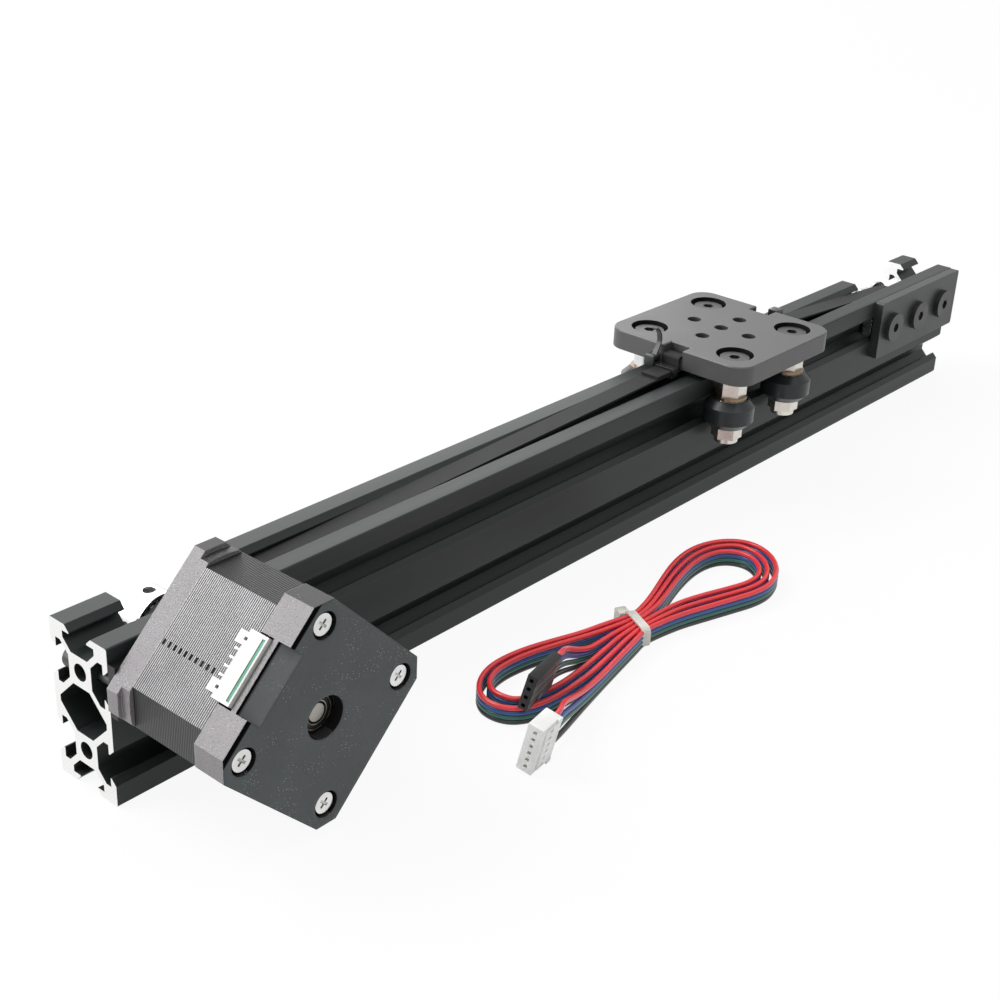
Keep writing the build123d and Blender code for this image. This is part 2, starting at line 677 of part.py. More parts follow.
# Gantry plate
plate_half = plate_size / 2
with BuildPart() as gantry_plate:
    with BuildSketch(Plane.XY.offset(plate_bottom)) as plate_outline:
        with Locations((carriage_x, 0)):
            Rectangle(plate_size, plate_size)
        fillet(plate_outline.vertices(), radius=plate_corner)
        with Locations((carriage_x - plate_half, 0), (carriage_x + plate_half, 0)):
            Rectangle(2 * notch_depth, notch_width, mode=Mode.SUBTRACT)
        with Locations((carriage_x, 0)):
            with GridLocations(wheel_spacing_x, 2 * wheel_from_centre, 2, 2):
                Circle(m5_radius + m5_clearance, mode=Mode.SUBTRACT)
            Circle(tapped_hole_radius, mode=Mode.SUBTRACT)
            with PolarLocations(plus_pitch, 4):
                Circle(tapped_hole_radius, mode=Mode.SUBTRACT)
    extrude(amount=plate_thickness)
    with BuildSketch(Plane.XY.offset(plate_top)):
        with Locations((carriage_x, 0)):
            with GridLocations(wheel_spacing_x, 2 * wheel_from_centre, 2, 2):
                Circle(m5_head_recess_radius)
    extrude(amount=-m5_head_recess, mode=Mode.SUBTRACT)
    sill_x = plate_half - sill_thickness / 2
    with BuildSketch(Plane.XY.offset(plate_bottom)):
        with Locations((carriage_x - sill_x, 0), (carriage_x + sill_x, 0)):
            Rectangle(sill_thickness, notch_width)
    extrude(amount=sill_height)
    chamfer(gantry_plate.faces().sort_by(Axis.Z)[-1].outer_wire().edges(), length=0.3)
write(gantry_plate, "gantry_plate")

screw_tip_z = plate_top - m5_head_recess - wheel_screw_length
with BuildPart() as wheel_screws:
    for x in wheel_x:
        for y in (-wheel_from_centre, wheel_from_centre):
            round_along_z(x, y, screw_tip_z, wheel_screw_length, m5_radius)
            round_along_z(x, y, plate_top - m5_head_recess, m5_head_height, m5_head_radius)
            hexagon_along_z(x, y, plate_top - m5_head_recess + m5_head_height - m5_hex_depth, m5_hex_depth,
                            m5_hex, Mode.SUBTRACT)
write(wheel_screws, "wheel_screws")

spacer_bottom = wheel_top + brass_shim_thickness
with BuildPart() as eccentric_spacers:
    for x in wheel_x:
        hexagon_along_z(x, -wheel_from_centre, spacer_bottom, plate_bottom - spacer_bottom, hex_spacer_width)
        round_along_z(x, -wheel_from_centre, spacer_bottom, plate_bottom - spacer_bottom,
                      m5_radius + running_gap, Mode.SUBTRACT)
write(eccentric_spacers, "eccentric_spacers")

with BuildPart() as fixed_spacers:
    for x in wheel_x:
        round_along_z(x, wheel_from_centre, spacer_bottom, plate_bottom - spacer_bottom, round_spacer_radius)
        round_along_z(x, wheel_from_centre, spacer_bottom, plate_bottom - spacer_bottom,
                      m5_radius + running_gap, Mode.SUBTRACT)
write(fixed_spacers, "fixed_spacers")

with BuildPart() as brass_shims:
    for x in wheel_x:
        for y in (-wheel_from_centre, wheel_from_centre):
            round_along_z(x, y, wheel_top, brass_shim_thickness, brass_shim_radius)
            round_along_z(x, y, wheel_top, brass_shim_thickness, m5_radius + running_gap, Mode.SUBTRACT)
write(brass_shims, "brass_shims")

with BuildPart() as wheel_shims:
    for x in wheel_x:
        for y in (-wheel_from_centre, wheel_from_centre):
            shim_bottom = axis_z - wheel_shim / 2 + running_gap
            shim_height = wheel_shim - 2 * running_gap
            round_along_z(x, y, shim_bottom, shim_height, m5_radius + running_gap + idler_sleeve_wall)
            round_along_z(x, y, shim_bottom, shim_height, m5_radius + running_gap, Mode.SUBTRACT)
write(wheel_shims, "wheel_shims")

with BuildPart() as lock_nuts:
    for x in wheel_x:
        for y in (-wheel_from_centre, wheel_from_centre):
            hexagon_along_z(x, y, wheel_bottom - nut_height + nut_dome, nut_height - nut_dome, nut_width)
            round_along_z(x, y, wheel_bottom - nut_height, nut_dome, nut_width / 2 - 0.4)
            round_along_z(x, y, wheel_bottom - nut_height, nut_height, m5_radius + 0.02, Mode.SUBTRACT)
write(lock_nuts, "lock_nuts")


def bearing_along_z(x, y, bottom, outer, width, bore):
    ring = (outer - bore) * 0.28
    with BuildSketch(Plane.XY.offset(bottom)) as rings:
        with Locations((x, y)):
            Circle(outer)
            Circle(bore, mode=Mode.SUBTRACT)
    extrude(rings.sketch, amount=width)
    for start in (bottom, bottom + width - 0.3):
        with BuildSketch(Plane.XY.offset(start)) as shield:
            with Locations((x, y)):
                Circle(outer - ring)
                Circle(bore + ring, mode=Mode.SUBTRACT)
        extrude(shield.sketch, amount=0.3, mode=Mode.SUBTRACT)


# Wheels, numbered from the motor end, right side first
wheel_number = 0
for y in (-wheel_from_centre, wheel_from_centre):
    for x in wheel_x:
        wheel_number += 1
        bevel_depth = (wheel_width - wheel_crown) / 2
        with BuildPart() as wheel:
            with BuildSketch(Plane.XZ.offset(-y)):
                with BuildLine():
                    Polyline(
                        (x + wheel_bearing_outer, axis_z - wheel_width / 2),
                        (x + wheel_radius - bevel_depth, axis_z - wheel_width / 2),
                        (x + wheel_radius, axis_z - wheel_crown / 2),
                        (x + wheel_radius, axis_z + wheel_crown / 2),
                        (x + wheel_radius - bevel_depth, axis_z + wheel_width / 2),
                        (x + wheel_bearing_outer, axis_z + wheel_width / 2),
                        (x + wheel_bearing_outer, axis_z + wheel_shim / 2),
                        (x + wheel_bearing_outer - 0.8, axis_z + wheel_shim / 2),
                        (x + wheel_bearing_outer - 0.8, axis_z - wheel_shim / 2),
                        (x + wheel_bearing_outer, axis_z - wheel_shim / 2),
                        close=True,
                    )
                make_face()
            revolve(axis=Axis((x, y, 0), (0, 0, 1)))
        write(wheel, f"wheel_{wheel_number}")
        with BuildPart() as wheel_bearings:
            for bottom in (wheel_bottom + running_gap, wheel_top - wheel_bearing_width):
                bearing_along_z(x, y, bottom, wheel_bearing_outer - 0.01, wheel_bearing_width - running_gap,
                                m5_radius + running_gap)
        write(wheel_bearings, f"wheel_{wheel_number}_bearings")

# Belt: a flat band, toothed side in, drawn in the centre plane and extruded both ways
lower_line = axis_z - belt_line_radius
upper_line = axis_z + belt_line_radius
with BuildPart() as belt_lower_run:
    with BuildSketch(Plane.XZ) as lower_band:
        with BuildLine():
            CenterArc((motor_x, axis_z), belt_line_radius, 90, 180)
            Line((motor_x, lower_line), (idler_x, lower_line))
            CenterArc((idler_x, axis_z), belt_line_radius, 270, 180)
        trace(line_width=belt_land)
    extrude(amount=belt_width / 2, both=True)
write(belt_lower_run, "belt_lower_run")

fold_end = plate_half + belt_fold_length
belt_runs = (("belt_upper_motor_side", motor_x, -1), ("belt_upper_idler_side", idler_x, 1))
for label, wheel_centre, side in belt_runs:
    with BuildPart() as belt_run:
        with BuildSketch(Plane.XZ):
            with BuildLine():
                Line((wheel_centre - side * 0.05, upper_line), (carriage_x + side * (fold_end + 0.05), belt_line_z))
            trace(line_width=belt_land)
        extrude(amount=belt_width / 2, both=True)
    write(belt_run, label)

sill_inner = plate_half - sill_thickness - 0.4 - belt_land / 2
sill_outer = plate_half + 0.4 + belt_land / 2
over_sill = plate_bottom + sill_height + 0.4 + belt_land / 2
back_layer = belt_line_z + belt_land + 0.1
for label, side in (("belt_end_motor_side", -1), ("belt_end_idler_side", 1)):
    with BuildPart() as belt_end:
        with BuildSketch(Plane.XZ):
            with BuildLine():
                FilletPolyline(
                    (carriage_x + side * fold_end, belt_line_z),
                    (carriage_x + side * sill_inner, belt_line_z),
                    (carriage_x + side * sill_inner, over_sill),
                    (carriage_x + side * sill_outer, over_sill),
                    (carriage_x + side * sill_outer, back_layer),
                    (carriage_x + side * (fold_end - 1), back_layer),
                    radius=0.5,
                )
            trace(line_width=belt_land)
        extrude(amount=belt_width / 2, both=True)
    write(belt_end, label)

# Cable ties round the folded belt
tie_inner_half = belt_width / 2 + 0.1
tie_low = belt_line_z - belt_land / 2 - 0.75
tie_high = back_layer + belt_land / 2 + 0.1
side_head_y = tie_inner_half + tie_thickness + tie_head / 2 - 0.1
top_head_z = tie_high + tie_thickness + tie_head / 2 - 0.1
near_tie_x = carriage_x - plate_half - near_tie_from_plate
far_tie_x = carriage_x + plate_half + far_tie_from_plate
with BuildPart() as belt_ties:
    for tie_x, head_y, head_z in ((near_tie_x, side_head_y, tie_high + 1.0), (far_tie_x, 0, top_head_z)):
        with BuildSketch(Plane.YZ.offset(tie_x - tie_width / 2)):
            with Locations((0, (tie_low + tie_high) / 2)):
                Rectangle(2 * (tie_inner_half + tie_thickness), tie_high - tie_low + 2 * tie_thickness)
                Rectangle(2 * tie_inner_half, tie_high - tie_low, mode=Mode.SUBTRACT)
        extrude(amount=tie_width)
        with Locations((tie_x, head_y, head_z)):
            Box(tie_head, tie_head, tie_head)
write(belt_ties, "belt_ties")

# Loose cable, lying on the surface that the module stands on. A turn of the hank runs round the
# right loop from its lower side to its upper side and back through the tie round the left loop.
right_loop_outer = [
    (135.7, -50.5), (143.1, -51.4), (150.0, -52.7), (158.3, -55.3), (166.7, -57.9), (173.9, -60.1), (181.0, -60.3),
    (189.1, -57.1), (195.1, -50.6), (196.8, -43.6), (193.9, -38.1), (188.2, -34.5), (180.7, -33.0), (171.1, -34.3),
    (160.6, -37.8), (150.8, -41.4), (143.5, -43.3), (139.1, -43.8),
]
left_loop_outer = [
    (131.7, -41.6), (123.0, -39.9), (115.0, -37.2), (107.5, -34.9), (99.7, -33.7), (93.1, -34.1), (87.2, -36.6),
    (83.2, -40.6), (82.2, -44.9), (83.4, -49.3), (87.0, -52.3), (92.4, -53.8), (100.2, -54.2), (109.2, -53.7),
    (120.7, -51.6), (129.5, -49.9),
]
right_loop_inner = [
    (146.8, -48.0), (153.9, -48.5), (161.8, -50.7), (169.9, -53.6), (177.2, -55.8), (183.3, -55.0), (188.2, -51.0),
    (190.1, -45.8), (188.2, -41.2), (183.6, -38.5), (175.8, -38.0), (165.6, -40.1), (156.5, -43.0), (147.6, -45.6),
]
left_loop_inner = [
    (130.5, -43.6), (124.2, -42.2), (113.0, -38.6), (104.4, -36.4), (96.7, -35.8), (90.6, -37.1), (86.8, -40.8),
    (86.5, -44.6), (87.7, -48.4), (92.8, -50.2), (99.4, -51.4), (109.7, -50.8), (120.0, -49.3), (129.0, -47.9),
]
tie_plane = Plane(origin=(137.4, -47.1, 0), x_dir=(-0.453, -0.893, 0), z_dir=(-0.893, 0.453, 0))
with BuildPart() as cable_hank:
    with BuildSketch(Plane.XY) as hank_outline:
        Polygon(*right_loop_outer, *left_loop_outer, align=None)
        offset(amount=wire_diameter / 2, kind=Kind.INTERSECTION)
        for loop in (right_loop_inner, left_loop_inner):
            with BuildSketch(mode=Mode.PRIVATE) as loop_hole:
                Polygon(*loop, align=None)
                offset(amount=-wire_diameter / 2, kind=Kind.INTERSECTION)
            add(loop_hole.sketch, mode=Mode.SUBTRACT)
    extrude(amount=ribbon_height)
    with BuildSketch(tie_plane.offset(-cable_tie_width / 2 - 0.2)):
        Rectangle(cable_tie_span, 2 * cable_tie_wall + 0.1)
    extrude(amount=cable_tie_width + 0.4, mode=Mode.SUBTRACT)
write(cable_hank, "cable_hank")

tie_outer_height = ribbon_height + cable_tie_wall + 0.1
with BuildPart() as cable_tie:
    with BuildSketch(tie_plane.offset(-cable_tie_width / 2)):
        with Locations((0, tie_outer_height / 2)):
            Rectangle(cable_tie_span, tie_outer_height)
            Rectangle(cable_tie_span - 2 * cable_tie_wall, tie_outer_height - 2 * cable_tie_wall,
                      mode=Mode.SUBTRACT)
    extrude(amount=cable_tie_width)
    with Locations(tie_plane * Location((-cable_tie_span / 2 - 1.6, 2.6, 0.8))):
        Box(3.6, 4.4, 3.2)
write(cable_tie, "cable_tie")

ribbon_levels = [wire_diameter * (wire_count - 0.5 - i) for i in range(wire_count)]


def leaning_plane(x, y, z, heading, lean):
    """The foot of a plug that stands on its end: x along the plug, tilted sideways by lean."""
    along = Vector(math.cos(math.radians(heading)), math.sin(math.radians(heading)), 0)
    up = Vector(0, 0, 1).rotate(Axis((0, 0, 0), tuple(along)), lean)
    return Plane(origin=(x, y, z), x_dir=along, z_dir=up)


def wire(points):
    """One wire: straight runs joined by arcs, each as large as its two runs allow."""
    corners = [Vector(*p) for p in points]
    radii = []
    for before, here, after in zip(corners, corners[1:], corners[2:]):
        turn = math.radians((here - before).get_angle(after - here))
        shorter = min((here - before).length, (after - here).length)
        radii.append(0.45 * shorter / math.tan(turn / 2))
    print("wire radii", [round(r, 1) for r in radii])
    with BuildLine() as route:
        FilletPolyline(*points, radius=radii)
    with BuildSketch(Plane(origin=route.line @ 0, z_dir=route.line % 0)) as section:
        Circle(wire_diameter / 2 - 0.03)
    sweep(section.sketch, path=route.line)


def lead_wires(foot, plug_length, rows, low_points):
    """The wires of one lead: from the plug's end, at their heights in it, down to the ribbon."""
    for height, level in zip(rows, ribbon_levels):
        start = foot.from_local_coords(Vector(plug_length / 2 + 0.02, 0, height))
        route = [tuple(start), tuple(foot.from_local_coords(Vector(plug_length / 2 + 3, 0, height)))]
        for x, y, share in low_points:
            route.append((x, y, level + share * (start.Z - level)))
        wire(route)


motor_foot = leaning_plane(75.3, -64.2, white_plug_thickness / 2 * math.sin(math.radians(12)), 9, 12)
driver_foot = leaning_plane(90.6, -51.4, ribbon_height + 0.35, 12, 14)
motor_rows = [white_plug_height / 2 + plug_pitch * step for step in (2.5, 0.5, -0.5, -2.5)]
driver_rows = [black_plug_height / 2 + pin_pitch * step for step in (1.5, 0.5, -0.5, -1.5)]

with BuildPart() as motor_lead_wires:
    lead_wires(motor_foot, white_plug_length, motor_rows,
               [(88.0, -62.2, 0.8), (94.5, -60.3, 0.45), (102.0, -58.2, 0.15), (111.0, -56.0, 0),
                (121.0, -53.8, 0), (131.5, -51.6, 0)])
write(motor_lead_wires, "motor_lead_wires")

with BuildPart() as driver_lead_wires:
    lead_wires(driver_foot, black_plug_length, driver_rows,
               [(105.5, -48.6, 0.72), (111.5, -47.6, 0.35), (117.5, -46.7, 0.08), (123.0, -46.1, 0),
                (128.3, -45.9, 0)])
write(driver_lead_wires, "driver_lead_wires")

with BuildPart() as motor_plug:
    with BuildSketch(motor_foot):
        Rectangle(white_plug_length, white_plug_thickness)
    extrude(amount=white_plug_height)
    for row in range(plug_ways):
        height = white_plug_height / 2 + plug_pitch * (row - 2.5) - 0.6
        with BuildSketch(motor_foot.offset(height)):
            with Locations((-white_plug_length / 2 + 1, 0)):
                Rectangle(2.2, 1.2)
        extrude(amount=1.2, mode=Mode.SUBTRACT)
write(motor_plug, "motor_plug")

with BuildPart() as driver_plug:
    with BuildSketch(driver_foot):
        Rectangle(black_plug_length, black_plug_thickness)
    extrude(amount=black_plug_height)
    for row in range(wire_count):
        height = black_plug_height / 2 + pin_pitch * (row - 1.5) - 0.4
        with BuildSketch(driver_foot.offset(height)):
            with Locations((-black_plug_length / 2 + 1.5, 0)):
                Rectangle(3.2, 0.8)
        extrude(amount=0.8, mode=Mode.SUBTRACT)
write(driver_plug, "driver_plug")
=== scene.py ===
import math

import bmesh
import bpy
from mathutils import Matrix, Vector


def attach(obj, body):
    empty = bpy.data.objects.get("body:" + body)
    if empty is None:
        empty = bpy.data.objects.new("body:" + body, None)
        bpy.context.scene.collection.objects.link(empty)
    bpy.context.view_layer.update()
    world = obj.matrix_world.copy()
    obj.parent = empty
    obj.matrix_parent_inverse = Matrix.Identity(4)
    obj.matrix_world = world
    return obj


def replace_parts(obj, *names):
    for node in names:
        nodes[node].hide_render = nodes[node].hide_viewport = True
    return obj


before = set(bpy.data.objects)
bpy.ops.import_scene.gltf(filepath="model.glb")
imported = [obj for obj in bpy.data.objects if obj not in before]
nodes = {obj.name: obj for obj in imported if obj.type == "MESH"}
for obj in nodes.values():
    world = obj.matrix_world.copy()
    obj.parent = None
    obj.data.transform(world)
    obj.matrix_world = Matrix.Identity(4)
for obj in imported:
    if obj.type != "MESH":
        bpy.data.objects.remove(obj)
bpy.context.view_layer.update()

# Places and sizes of the CAD model, in millimetres
MM = 0.001
SHAFT_X, SHAFT_Z = 25.0, 30.0
MOTOR_SCREW = 15.5
CARRIAGE_X = 236.8
PLATE_SCREW_X, PLATE_SCREW_Y = 15.65, 15.6
WINDOWS = ((14.5, 41.5), (327.0, 359.0))
WINDOW_FLOOR, WINDOW_BACK = 21.0, -5.5
DIAGONAL = 0.7071


def point(x, y, z):
    """A place of the CAD model in millimetres, as Blender's metres."""
    return Vector((x, y, z)) * MM


# Camera: the photograph's own, solved on the profile's edges
camera_data = bpy.data.cameras.new("camera")
camera_data.lens = 59.04
camera_data.sensor_width = 36
camera_data.clip_start = 0.01
camera = bpy.data.objects.new("camera", camera_data)
bpy.context.scene.collection.objects.link(camera)
bpy.context.scene.camera = camera
camera_place = point(-168.3, -255.9, 221.4)
camera_azimuth, camera_height, camera_roll = (math.radians(a) for a in (-49.896, 26.42, 2.684))
to_camera = Vector((math.sin(camera_azimuth) * math.cos(camera_height),
                    -math.cos(camera_azimuth) * math.cos(camera_height), math.sin(camera_height)))
level_right = Vector((0, 0, 1)).cross(to_camera).normalized()
level_up = to_camera.cross(level_right)
camera_right = math.cos(camera_roll) * level_right + math.sin(camera_roll) * level_up
camera_up = to_camera.cross(camera_right)
camera.matrix_world = (Matrix.Translation(camera_place)
                       @ Matrix((camera_right, camera_up, to_camera)).transposed().to_4x4())
bpy.context.scene.view_settings.view_transform = "Standard"


# Node tools
def feed(tree, socket, value):
    """Links an input to value where that is a socket itself, and sets it otherwise."""
    if isinstance(value, bpy.types.NodeSocket):
        tree.links.new(value, socket)
    else:
        socket.default_value = value


def add_node(tree, kind, **values):
    """A node whose settings and inputs are given by name."""
    node = tree.nodes.new(kind)
    for name, value in values.items():
        if name in node.bl_rna.properties:
            setattr(node, name, value)
            continue
        label = name.replace("_", " ").lower()
        sockets = [socket for socket in node.inputs if socket.name.lower() == label]
        feed(tree, next((socket for socket in sockets if socket.enabled), sockets[0]), value)
    return node


def maths(tree, operation, *values):
    """The result of a Math node."""
    node = add_node(tree, "ShaderNodeMath", operation=operation)
    for socket, value in zip(node.inputs, values):
        feed(tree, socket, value)
    return node.outputs[0]


def ranged(tree, value, low, high, to_low=0.0, to_high=1.0):
    """value taken from the range low to high and spread over to_low to to_high, clamped."""
    node = add_node(tree, "ShaderNodeMapRange", Value=value, From_Min=low, From_Max=high, To_Min=to_low,
                    To_Max=to_high)
    return node.outputs[0]


def mixed(tree, factor, first, second):
    """Two colours mixed, the second where factor is 1."""
    node = add_node(tree, "ShaderNodeMix", data_type="RGBA")
    feed(tree, node.inputs[0], factor)
    for socket, colour in ((node.inputs[6], first), (node.inputs[7], second)):
        feed(tree, socket, colour if isinstance(colour, bpy.types.NodeSocket) else (*colour, 1))
    return node.outputs[2]


def place(tree, scale=(1, 1, 1)):
    """Object coordinates in millimetres, stretched by scale."""
    where = tree.nodes.new("ShaderNodeTexCoord")
    stretch = add_node(tree, "ShaderNodeMapping", Vector=where.outputs["Object"],
                       Scale=[share / MM for share in scale])
    return stretch.outputs[0]


def group_of(name, inputs, outputs):
    """A shader node group of plain numbers, with the nodes that hold its inputs and outputs."""
    tree = bpy.data.node_groups.new(name, "ShaderNodeTree")
    for label, value in inputs:
        socket = tree.interface.new_socket(label, in_out="INPUT", socket_type="NodeSocketFloat")
        socket.default_value = value
    for label in outputs:
        tree.interface.new_socket(label, in_out="OUTPUT", socket_type="NodeSocketFloat")
    return tree, tree.nodes.new("NodeGroupInput"), tree.nodes.new("NodeGroupOutput")


def edge_wear_and_highlight_group():
    """Where an edge is lighter, partly from wear and partly as painted highlight: 1 along sharp edges, broken
    up by a fine noise.
    """
    tree, given, result = group_of("edge wear and highlight", [("Width", 0.3), ("Amount", 1.0)], ["Mask"])
    radius = maths(tree, "MULTIPLY", given.outputs["Width"], MM)
    rounded = add_node(tree, "ShaderNodeBevel", samples=6, Radius=radius)
    flat = tree.nodes.new("ShaderNodeNewGeometry")
    turn = add_node(tree, "ShaderNodeVectorMath", operation="DOT_PRODUCT")
    tree.links.new(rounded.outputs[0], turn.inputs[0])
    tree.links.new(flat.outputs["Normal"], turn.inputs[1])
    edge = ranged(tree, turn.outputs["Value"], 0.995, 0.9)
    patches = add_node(tree, "ShaderNodeTexNoise", Vector=place(tree), Scale=0.9, Detail=3.0)
    broken = ranged(tree, patches.outputs[0], 0.35, 0.6)
    broken_edge = maths(tree, "MULTIPLY", edge, broken)
    worn_and_highlit = maths(tree, "MULTIPLY", broken_edge, given.outputs["Amount"])
    tree.links.new(worn_and_highlit, result.inputs["Mask"])
    return tree


def grain_group():
    """Fine even grain, as on blasted, moulded or painted surfaces: a height and a soft mask of it."""
    tree, given, result = group_of("grain", [("Size", 0.3), ("Unevenness", 12.0)], ["Height", "Patches"])
    per_mm = maths(tree, "DIVIDE", 1.0, given.outputs["Size"])
    fine = add_node(tree, "ShaderNodeTexNoise", Vector=place(tree), Scale=per_mm, Detail=2.0)
    wide = maths(tree, "DIVIDE", 1.0, given.outputs["Unevenness"])
    cloud = add_node(tree, "ShaderNodeTexNoise", Vector=place(tree), Scale=wide, Detail=3.0)
    tree.links.new(fine.outputs[0], result.inputs["Height"])
    tree.links.new(ranged(tree, cloud.outputs[0], 0.3, 0.7), result.inputs["Patches"])
    return tree


def drawn_lines_group():
    """Long fine lines along X, from the die that the profile was pressed through."""
    tree, given, result = group_of("drawn lines", [("Spacing", 0.25)], ["Height", "Streaks"])
    per_mm = maths(tree, "DIVIDE", 1.0, given.outputs["Spacing"])
    fine = add_node(tree, "ShaderNodeTexNoise", Vector=place(tree, (0.004, 1, 1)), Scale=per_mm, Detail=2.0)
    broad = add_node(tree, "ShaderNodeTexNoise", Vector=place(tree, (0.01, 1, 1)), Scale=0.35, Detail=2.0)
    tree.links.new(fine.outputs[0], result.inputs["Height"])
    tree.links.new(ranged(tree, broad.outputs[0], 0.3, 0.7), result.inputs["Streaks"])
    return tree


EDGE_WEAR_AND_HIGHLIGHT = edge_wear_and_highlight_group()
GRAIN = grain_group()
DRAWN_LINES = drawn_lines_group()


def use_group(tree, group, **values):
    """Places a group in a material and returns its outputs."""
    node = tree.nodes.new("ShaderNodeGroup")
    node.node_tree = group
    for name, value in values.items():
        node.inputs[name].default_value = value
    return node.outputs


class Finish:
    """A material with one Principled shader, and short ways to give it colour, sheen and relief."""

    def __init__(self, name, colour, roughness, metallic=0.0, **sockets):
        self.material = bpy.data.materials.new(name)
        self.material.use_nodes = True
        self.material.diffuse_color = (*colour, 1)
        self.tree = self.material.node_tree
        self.shader = self.tree.nodes["Principled BSDF"]
        self.plain_colour = self.colour = colour
        self.shader.inputs["Base Color"].default_value = (*colour, 1)
        self.shader.inputs["Roughness"].default_value = roughness
        self.shader.inputs["Metallic"].default_value = metallic
        for label, value in sockets.items():
            self.shader.inputs[label.replace("_", " ")].default_value = value

    def tint(self, factor, other):
        """Turns the colour so far towards other where factor is 1."""
        self.colour = mixed(self.tree, factor, self.colour, other)
        self.tree.links.new(self.colour, self.shader.inputs["Base Color"])

    def sheen_between(self, factor, low, high):
        """Lets the roughness vary from low, where factor is 0, to high, where it is 1."""
        self.tree.links.new(ranged(self.tree, factor, 0, 1, low, high), self.shader.inputs["Roughness"])

    def relief(self, height, depth, strength=1.0):
        """Bumps of depth millimetres, on top of those given before."""
        bump = add_node(self.tree, "ShaderNodeBump", Height=height, Distance=depth * MM, Strength=strength)
        before = self.shader.inputs["Normal"].links
        if before:
            self.tree.links.new(before[0].from_socket, bump.inputs["Normal"])
        self.tree.links.new(bump.outputs[0], self.shader.inputs["Normal"])

    def dull(self, factor):
        """Takes the surface's reflection away where factor is 1."""
        level = self.shader.inputs["Specular IOR Level"]
        self.tree.links.new(ranged(self.tree, factor, 0, 1, level.default_value, 0), level)

    def soft_edges(self, width):
        """Rounds the look of the solid's sharp edges over width millimetres."""
        edge = add_node(self.tree, "ShaderNodeBevel", samples=4, Radius=width * MM)
        self.tree.links.new(edge.outputs[0], self.shader.inputs["Normal"])

    def worn_and_highlit_edges(self, width, amount, colour):
        """Shows another colour along the edges, width millimetres wide, partly as wear and partly as painted
        highlight.
        """
        self.tint(use_group(self.tree, EDGE_WEAR_AND_HIGHLIGHT, Width=width, Amount=amount)["Mask"], colour)

    def grained(self, size, unevenness, shade):
        """Adds a grain with patches that are shade times as light, and returns the group's outputs."""
        grain = use_group(self.tree, GRAIN, Size=size, Unevenness=unevenness)
        self.tint(grain["Patches"], [shade * part for part in self.plain_colour])
        return grain

    def waves(self, scale, direction, **values):
        """Even stripes through the material, pi / 10 / scale millimetres apart."""
        stripes = add_node(self.tree, "ShaderNodeTexWave", Vector=place(self.tree), Scale=scale,
                           bands_direction=direction, **values)
        return stripes.outputs["Fac"]


# Finishes
def anodised_profile():
    """Black anodising with the faint long lines of the pressed profile."""
    finish = Finish("black anodised profile", (0.015, 0.018, 0.018), roughness=0.4, Specular_IOR_Level=0.25)
    finish.soft_edges(0.25)
    lines = use_group(finish.tree, DRAWN_LINES, Spacing=0.22)
    finish.tint(lines["Streaks"], (0.022, 0.028, 0.027))
    finish.sheen_between(lines["Streaks"], 0.36, 0.46)
    # Lighter edges: partly wear, partly painted highlight
    finish.worn_and_highlit_edges(width=0.22, amount=0.35, colour=(0.16, 0.165, 0.165))
    finish.relief(lines["Height"], depth=0.01, strength=0.35)
    return finish.material


def anodised_plate(name, colour, gloss=0.5, roughness=0.42):
    """Black anodising on a blasted plate, lighter along its edges, partly from wear and partly as painted
    highlight.
    """
    finish = Finish(name, colour, roughness, Specular_IOR_Level=gloss)
    finish.soft_edges(0.25)
    grain = finish.grained(size=0.12, unevenness=14.0, shade=1.35)
    finish.sheen_between(grain["Patches"], roughness - 0.04, roughness + 0.05)
    # Lighter edges: partly wear, partly painted highlight
    finish.worn_and_highlit_edges(width=0.25, amount=0.5, colour=(0.2, 0.2, 0.2))
    finish.relief(grain["Height"], depth=0.012, strength=0.5)
    return finish.material


def cut_aluminium():
    """Bare aluminium with the marks of the saw or the milling cutter."""
    finish = Finish("sawn aluminium", (0.88, 0.88, 0.87), roughness=0.32, metallic=1.0)
    marks = finish.waves(0.55, "DIAGONAL", Distortion=2.0, Detail=3.0)
    finish.tint(marks, (0.84, 0.84, 0.83))
    finish.sheen_between(marks, 0.28, 0.38)
    finish.relief(marks, depth=0.005, strength=0.15)
    return finish.material


def machined(name, colour, roughness, size=0.5):
    """Turned or milled metal with faint tool marks."""
    finish = Finish(name, colour, roughness=roughness, metallic=1.0)
    finish.soft_edges(0.12)
    grain = finish.grained(size=size, unevenness=5.0, shade=0.8)
    finish.sheen_between(grain["Height"], roughness - 0.06, roughness + 0.1)
    finish.relief(grain["Height"], depth=0.006, strength=0.4)
    return finish.material


def coated_casting(name, colour, sand, pit_share, gloss=0.6, rounding=0.3):
    """The motor's end bells: a fine sandy coating with dark pits and a few bright specks."""
    finish = Finish(name, colour, roughness=0.38, Specular_IOR_Level=gloss)
    finish.soft_edges(rounding)
    grain = finish.grained(size=0.42, unevenness=9.0, shade=1.2)
    pits = ranged(finish.tree, grain["Height"], 0.42, 0.3)
    finish.tint(maths(finish.tree, "MULTIPLY", pits, pit_share), [0.2 * part for part in colour])
    flocks = add_node(finish.tree, "ShaderNodeTexNoise", Vector=place(finish.tree), Scale=0.12, Detail=2.0)
    cells = add_node(finish.tree, "ShaderNodeTexVoronoi", Vector=place(finish.tree), Scale=1.6)
    specks = maths(finish.tree, "MULTIPLY", ranged(finish.tree, cells.outputs["Distance"], 0.17, 0.1),
                   ranged(finish.tree, flocks.outputs[0], 0.46, 0.6))
    finish.tint(specks, (0.5, 0.5, 0.51))
    finish.sheen_between(grain["Height"], 0.28, 0.48)
    finish.relief(grain["Height"], depth=sand, strength=0.7)
    return finish


